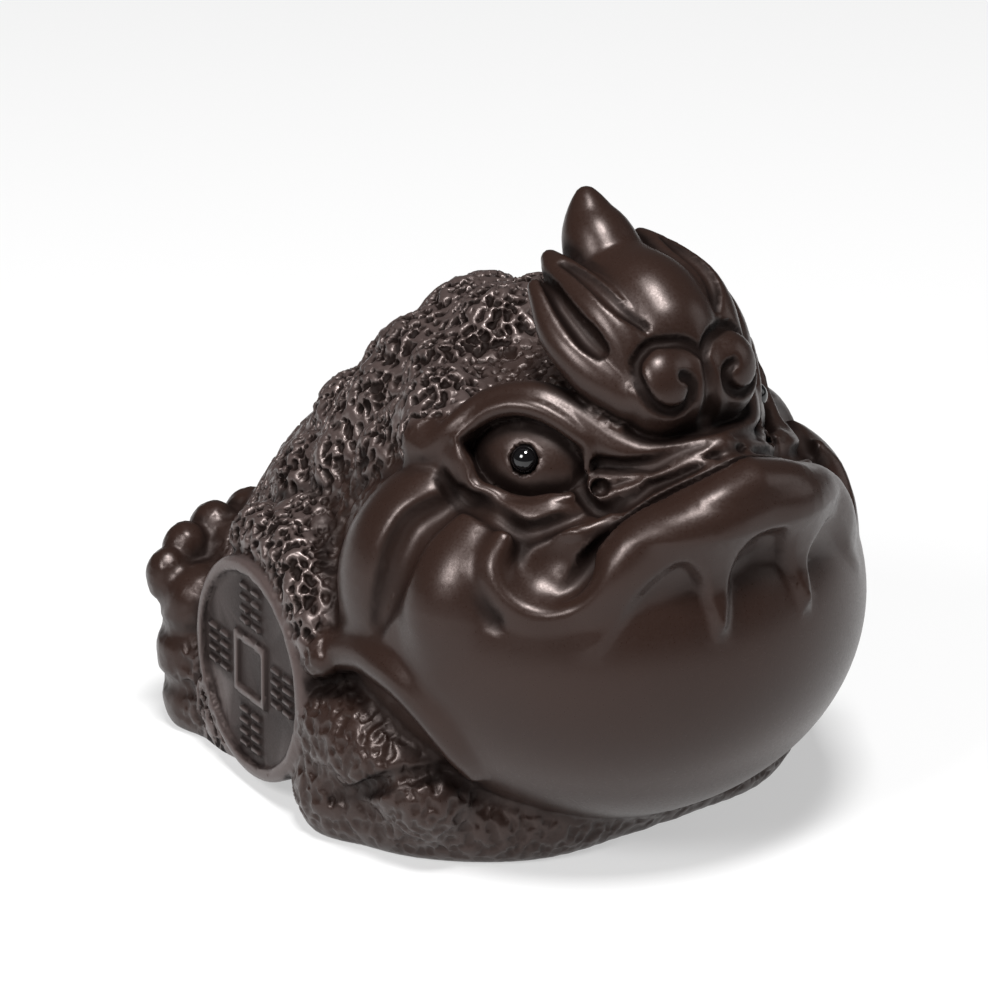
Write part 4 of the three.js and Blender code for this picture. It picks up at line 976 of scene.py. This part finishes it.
# Fired purple clay: an unglazed stoneware whose bare skin is rubbed to a satin and whose hide
# is left coarse. To the eye it is nearly black brown, with broad soft highlights. Shade is painted
# darker into its hollows and pits, a highlight is painted paler onto the ridges of the hide, and the
# coins are paler.
def purple_clay(settings):
    material = new_material("fired_purple_clay")
    tree = material.node_tree
    add = partial(add_node, tree)
    place = add("ShaderNodeTexCoord").outputs["Object"]
    # Attributes of the mesh: how stippled the hide is, how shut in a crease is (for painted shade), where
    # the coins are paler, and each point's place before the relief
    hide = add("ShaderNodeAttribute", {"attribute_name": "rough"}).outputs["Fac"]
    hollow = add("ShaderNodeAttribute", {"attribute_name": "hollow"}).outputs["Fac"]
    worn = add("ShaderNodeAttribute", {"attribute_name": "worn"}).outputs["Fac"]
    skin_place = add("ShaderNodeAttribute", {"attribute_name": "skin_place"}).outputs["Vector"]
    # The same pits as in the mesh, with the sharp edges that the mesh is too coarse for
    cells = pit_cells(tree, skin_place, 1 / settings.pit_spacing, float(settings.seed))
    soft = {"interpolation_type": "SMOOTHSTEP"}
    pit = add("ShaderNodeMapRange", soft, Value=cells, **SHADED_PIT)
    # Pits and ridges show only where the hide is well stippled
    bitten = add("ShaderNodeMath", POWER, _0=hide, _1=3.0)
    pit = add("ShaderNodeMath", MULTIPLY, _0=pit, _1=bitten)
    ridge = add("ShaderNodeMath", SUBTRACT, _0=bitten, _1=pit)
    # Cloudy tone of the clay, with a painted highlight on the hide's ridges, paler coins, and painted
    # shade where it is sunk
    cloud = add("ShaderNodeTexNoise", Vector=place, Scale=1 / CLOUD_SIZE, Detail=3.0)
    # Painted highlight: the palest colour goes onto the hide's ridges, where glints would catch the light;
    # the coins take it too
    highlight_and_pale_coin = add("ShaderNodeMath", MULTIPLY, _0=ridge, _1=RIDGE_HIGHLIGHT_SHARE)
    highlight_and_pale_coin = add("ShaderNodeMath", MAXIMUM, _0=highlight_and_pale_coin, _1=worn)
    # Painted shade: the darkest colour goes into the pits and the creases
    painted_pit_shade = add("ShaderNodeMath", MULTIPLY, _0=pit, _1=PIT_SHADE_SHARE)
    painted_crease_shade = add("ShaderNodeMath", MULTIPLY, _0=hollow, _1=CREASE_SHADE_SHARE)
    painted_shade = add("ShaderNodeMath", MAXIMUM, _0=painted_pit_shade, _1=painted_crease_shade)
    colour = linear(settings.clay_colour)
    for share, hex_colour in (
        (cloud.outputs["Fac"], settings.clay_warm_colour),
        (highlight_and_pale_coin, settings.clay_highlight_and_coin_colour),
        (painted_shade, settings.clay_shade_colour),
    ):
        mixed = add("ShaderNodeMix", {"data_type": "RGBA"}, _0=share, _6=colour, _7=linear(hex_colour))
        colour = mixed.outputs[2]
    # Grain of the clay body; the real one is finer than the render can show
    scale = 1 / GRAIN_SIZE
    grain = add("ShaderNodeTexNoise", Vector=place, Scale=scale, Detail=2.0, Roughness=0.6)
    grain = grain.outputs["Fac"]
    satin = add("ShaderNodeMapRange", Value=grain, From_Min=0.3, From_Max=0.7, To_Min=0.27, To_Max=0.37)
    roughness = add("ShaderNodeMath", MULTIPLY_ADD, _0=painted_shade, _1=0.3, _2=satin)
    sunk = add("ShaderNodeBump", {"invert": True}, Strength=0.7, Distance=0.3 * MM, Height=pit)
    bump = add("ShaderNodeBump", Strength=0.08, Distance=0.1 * MM, Height=grain, Normal=sunk)
    # The hide's ridges are rubbed the most and shine more, while in pits and hollows the shine is cut away
    # as painted shade
    rubbed = add("ShaderNodeMath", MULTIPLY_ADD, _0=ridge, _1=0.5, _2=0.4)
    shine = add("ShaderNodeMapRange", Value=painted_shade, To_Min=rubbed, To_Max=0.05)
    finish_material(
        tree,
        Base_Color=colour,
        Roughness=roughness,
        IOR=1.5,
        Specular_IOR_Level=shine,
        Specular_Tint=linear(settings.clay_sheen_colour),
        Normal=bump,
    )
    return material


# Black glaze on the bead: a fired glass skin, deep black with small sharp highlights.
def black_glaze(settings):
    material = new_material("black_bead_glaze")
    tree = material.node_tree
    add = partial(add_node, tree)
    place = add("ShaderNodeTexCoord").outputs["Object"]
    # Glaze pools a little unevenly, over about 1 mm
    pool = add("ShaderNodeTexNoise", Vector=place, Scale=1 / MM, Detail=1.0).outputs["Fac"]
    roughness = add("ShaderNodeMapRange", Value=pool, To_Min=0.03, To_Max=0.08)
    finish_material(tree, Base_Color=linear(settings.bead_colour), Roughness=roughness, IOR=1.55)
    return material


# White paper: a matt, pressed sheet with a faint fibre of 2.5 mm, lit from below as well.
def studio_white(settings):
    material = new_material("white_paper_sweep")
    tree = material.node_tree
    add = partial(add_node, tree)
    place = add("ShaderNodeTexCoord").outputs["Object"]
    fibre = add("ShaderNodeTexNoise", Vector=place, Scale=1 / (2.5 * MM), Detail=2.0)
    bump = add("ShaderNodeBump", Strength=0.02, Distance=0.2 * MM, Height=fibre.outputs["Fac"])
    finish_material(
        tree,
        Base_Color=linear(settings.floor_colour),
        Roughness=0.6,
        Normal=bump,
        Emission_Color=(1, 1, 1, 1),
        Emission_Strength=settings.floor_glow,
    )
    return material


# Settings that a user would change


def colour_setting(name, what, default):
    return StringProperty(name=name, description=what + ", sRGB hex", default=default)


def length_setting(name, what, default):
    return FloatProperty(name=name, description=what, default=default, unit="LENGTH")


def power_setting(name, what, default):
    return FloatProperty(name=name, description=what, default=default, unit="POWER")


class ToadBodySettings(bpy.types.PropertyGroup):
    grid: length_setting("Sculpting grid", "Spacing of the grid that the skin is drawn on", 0.42 * MM)
    triangles: IntProperty(name="Triangles", description="Most triangles in the skin", default=196000)
    pit_spacing: length_setting("Pit spacing", "Distance between the pits of the hide", 1.3 * MM)
    pit_depth: length_setting("Pit depth", "Depth of a pit", 0.85 * MM)
    lump_size: length_setting("Lump size", "Size of the small lumps", 5 * MM)
    lump_height: length_setting("Lump height", "Height of the small lumps", 0.5 * MM)
    seed: IntProperty(name="Seed", description="Fixes where the pits fall", default=7)
    clay_colour: colour_setting("Clay", "Colour of the clay", "#1f1410")
    clay_warm_colour: colour_setting("Warm clay", "Its warmer clouds", "#281a15")
    # The pale colour is a painted highlight on the hide's ridges, and also makes the coins paler
    clay_highlight_and_coin_colour: colour_setting("Highlight and coin clay", "Ridges of the hide, and the coins", "#453b39")
    # The deep colour is painted shade in pits and hollows
    clay_shade_colour: colour_setting("Deep clay", "Pits and hollows", "#0c0706")
    clay_sheen_colour: colour_setting("Sheen", "Tint of the clay's sheen", "#ffede8")


class ToadBeadSettings(bpy.types.PropertyGroup):
    bead_colour: colour_setting("Bead", "Colour of the glaze", "#0b0a0b")
    segments: IntProperty(name="Segments", description="Segments round a bead", default=48)


class ToadStageSettings(bpy.types.PropertyGroup):
    floor_colour: colour_setting("Floor", "Colour of the floor", "#a4a4a4")
    floor_glow: FloatProperty(
        name="Floor glow", description="Light that shines up through the floor", default=0.49
    )
    key_power: power_setting("Key light", "Power of the overhead softbox", 36.0)
    side_power: power_setting("Side light", "Power of the left softbox", 3.0)
    fill_power: power_setting("Fill light", "Power of the right softbox", 0.5)


def fitted(points, low, high):
    """The points moved and stretched to fill the box between two corners."""
    drawn_low, drawn_high = points.min(0), points.max(0)
    fit = (high - low) / (drawn_high - drawn_low)
    return (points - (drawn_low + drawn_high) / 2) * fit + (low + high) / 2


class TOAD_OT_body(bpy.types.Operator):
    """Sculpts the toad in one piece of clay, with its coins, crest and stippled hide"""

    bl_idname = "toad.body"
    bl_label = "Clay body"

    def execute(self, context):
        settings = context.scene.toad_body
        s = Sculpture()
        for feature in FEATURES:
            feature(s)
        points, quads = skin_mesh(s, *ROOM, settings.grid / MM)
        low, high = (np.array(corner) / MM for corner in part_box("toad_body"))
        body = new_object("clay_toad_body", fitted(points, low, high) * MM, quads)
        smooth(body)
        normals = np.empty(len(points) * 3, np.float32)
        body.data.vertex_normals.foreach_get("vector", normals)
        _, rough = s.field(points, with_rough=True)
        hollow = hollows(s, points, normals.reshape(-1, 3))
        # Stored for the clay: how rough the hide is, how shut in each crease is for painted shade, and
        # where the coins are paler
        for name, values in (("rough", rough), ("hollow", hollow), ("worn", coin_share(points))):
            attribute = body.data.attributes.new(name, "FLOAT", "POINT")
            attribute.data.foreach_set("value", values.astype(np.float32))
        hide = body.modifiers.new("hide", "NODES")
        hide.node_group = hide_tree()
        values = {
            "Pit Spacing": settings.pit_spacing,
            "Pit Depth": settings.pit_depth,
            "Lump Size": settings.lump_size,
            "Lump Height": settings.lump_height,
            "Seed": float(settings.seed),
            "Material": purple_clay(settings),
        }
        set_inputs(hide, values)
        thin = body.modifiers.new("thin", "DECIMATE")
        thin.ratio = min(1.0, settings.triangles / (2 * len(quads)))
        apply_modifiers(body)
        smooth(body)
        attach(body, "root")
        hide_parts("toad_body")
        return {"FINISHED"}


class TOAD_OT_beads(bpy.types.Operator):
    """Makes the two glazed eye beads"""

    bl_idname = "toad.beads"
    bl_label = "Eye beads"

    def execute(self, context):
        settings = context.scene.toad_beads
        glaze = black_glaze(settings)
        for side in ("right", "left"):
            low, high = (Vector(c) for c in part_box(side + "_eye_bead"))
            mesh = bpy.data.meshes.new(side + "_glazed_bead")
            radius = (high - low).x / 2
            rings = settings.segments // 2
            build = bmesh.new()
            bmesh.ops.create_uvsphere(
                build, u_segments=settings.segments, v_segments=rings, radius=radius
            )
            bmesh.ops.translate(build, verts=build.verts, vec=(low + high) / 2)
            build.to_mesh(mesh)
            build.free()
            bead = bpy.data.objects.new(side + "_glazed_bead", mesh)
            context.scene.collection.objects.link(bead)
            smooth(bead)
            mesh.materials.append(glaze)
            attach(bead, "root")
            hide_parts(side + "_eye_bead")
        return {"FINISHED"}


# Half the side of the floor, the strength of the air's own light, and the aim of the softboxes
FLOOR_HALF = 3.0
AIR_LIGHT = 0.08
SOFTBOX_AIM = Vector((0, -0.01, 0.04))
# Each softbox: its name, place, side and the setting that gives its power
SOFTBOXES = (
    ("overhead_softbox", (-0.22, -0.42, 1.6), 0.42, "key_power"),
    ("left_softbox", (-0.50, -0.12, 0.42), 0.2, "side_power"),
    ("right_softbox", (0.55, -0.35, 0.35), 0.35, "fill_power"),
)

# The camera stands where the photograph was taken from, fitted to the outline of the toad
IMAGE_SIDE = 988
CAMERA_AZIMUTH = -37
CAMERA_ELEVATION = 22
CAMERA_DISTANCE = 0.6
FOCAL_PIXELS = 4260
SENSOR_WIDTH = 36
AIM_POINT = Vector((0, 0.004165, 0.04))
AIM_RIGHT = -0.001408
AIM_UP = -0.001972


class TOAD_OT_stage(bpy.types.Operator):
    """Lays the white floor and sets the softboxes and the camera"""

    bl_idname = "toad.stage"
    bl_label = "Studio"

    def execute(self, context):
        settings = context.scene.toad_stage
        scene = context.scene
        half = FLOOR_HALF
        corners = [(-half, -half, 0), (half, -half, 0), (half, half, 0), (-half, half, 0)]
        floor = new_object("studio_floor", corners, [(0, 1, 2, 3)])
        floor.data.materials.append(studio_white(settings))
        for name, place, side, power in SOFTBOXES:
            self.softbox(name, place, side, getattr(settings, power))
        world = bpy.data.worlds.new("studio_air")
        scene.world = world
        world.use_nodes = True
        background = world.node_tree.nodes["Background"]
        background.inputs["Color"].default_value = (1, 1, 1, 1)
        background.inputs["Strength"].default_value = AIR_LIGHT
        scene.view_settings.view_transform = "Standard"
        scene.camera = self.camera()
        return {"FINISHED"}

    def camera(self):
        """The camera, with its right, up and back axes worked out from its two angles."""
        azimuth = math.radians(-CAMERA_AZIMUTH)
        elevation = math.radians(CAMERA_ELEVATION)
        level = math.cos(elevation)
        right = Vector((math.cos(azimuth), -math.sin(azimuth), 0))
        back = Vector((-math.sin(azimuth) * level, -math.cos(azimuth) * level, math.sin(elevation)))
        up = back.cross(right)
        data = bpy.data.cameras.new("camera")
        data.lens = FOCAL_PIXELS * SENSOR_WIDTH / IMAGE_SIDE
        data.sensor_width = SENSOR_WIDTH
        camera = bpy.data.objects.new("camera", data)
        camera.location = AIM_POINT + right * AIM_RIGHT + up * AIM_UP + back * CAMERA_DISTANCE
        camera.rotation_euler = (-back).to_track_quat("-Z", "Y").to_euler()
        bpy.context.scene.collection.objects.link(camera)
        return camera

    def softbox(self, name, place, size, power):
        data = bpy.data.lights.new(name, "AREA")
        data.shape = "SQUARE"
        data.size = size
        data.energy = power
        box = bpy.data.objects.new(name, data)
        box.location = place
        box.rotation_euler = (SOFTBOX_AIM - Vector(place)).to_track_quat("-Z", "Y").to_euler()
        bpy.context.scene.collection.objects.link(box)


class TOAD_PT_panel(bpy.types.Panel):
    bl_label = "Money toad"
    bl_idname = "TOAD_PT_panel"
    bl_space_type = "VIEW_3D"
    bl_region_type = "UI"
    bl_category = "Toad"

    def draw(self, context):
        for operator, settings in (
            ("toad.body", context.scene.toad_body),
            ("toad.beads", context.scene.toad_beads),
            ("toad.stage", context.scene.toad_stage),
        ):
            box = self.layout.box()
            for name in settings.bl_rna.properties.keys():
                if name not in ("rna_type", "name"):
                    box.prop(settings, name)
            box.operator(operator)


SETTINGS = {"toad_body": ToadBodySettings, "toad_beads": ToadBeadSettings, "toad_stage": ToadStageSettings}
CLASSES = (*SETTINGS.values(), TOAD_OT_body, TOAD_OT_beads, TOAD_OT_stage, TOAD_PT_panel)


def register():
    for item in CLASSES:
        bpy.utils.register_class(item)
    for name, kind in SETTINGS.items():
        setattr(bpy.types.Scene, name, PointerProperty(type=kind))


def unregister():
    for name in SETTINGS:
        delattr(bpy.types.Scene, name)
    for item in reversed(CLASSES):
        bpy.utils.unregister_class(item)


def main():
    register()
    bpy.ops.toad.body()
    bpy.ops.toad.beads()
    bpy.ops.toad.stage()


if __name__ == "__main__":
    main()
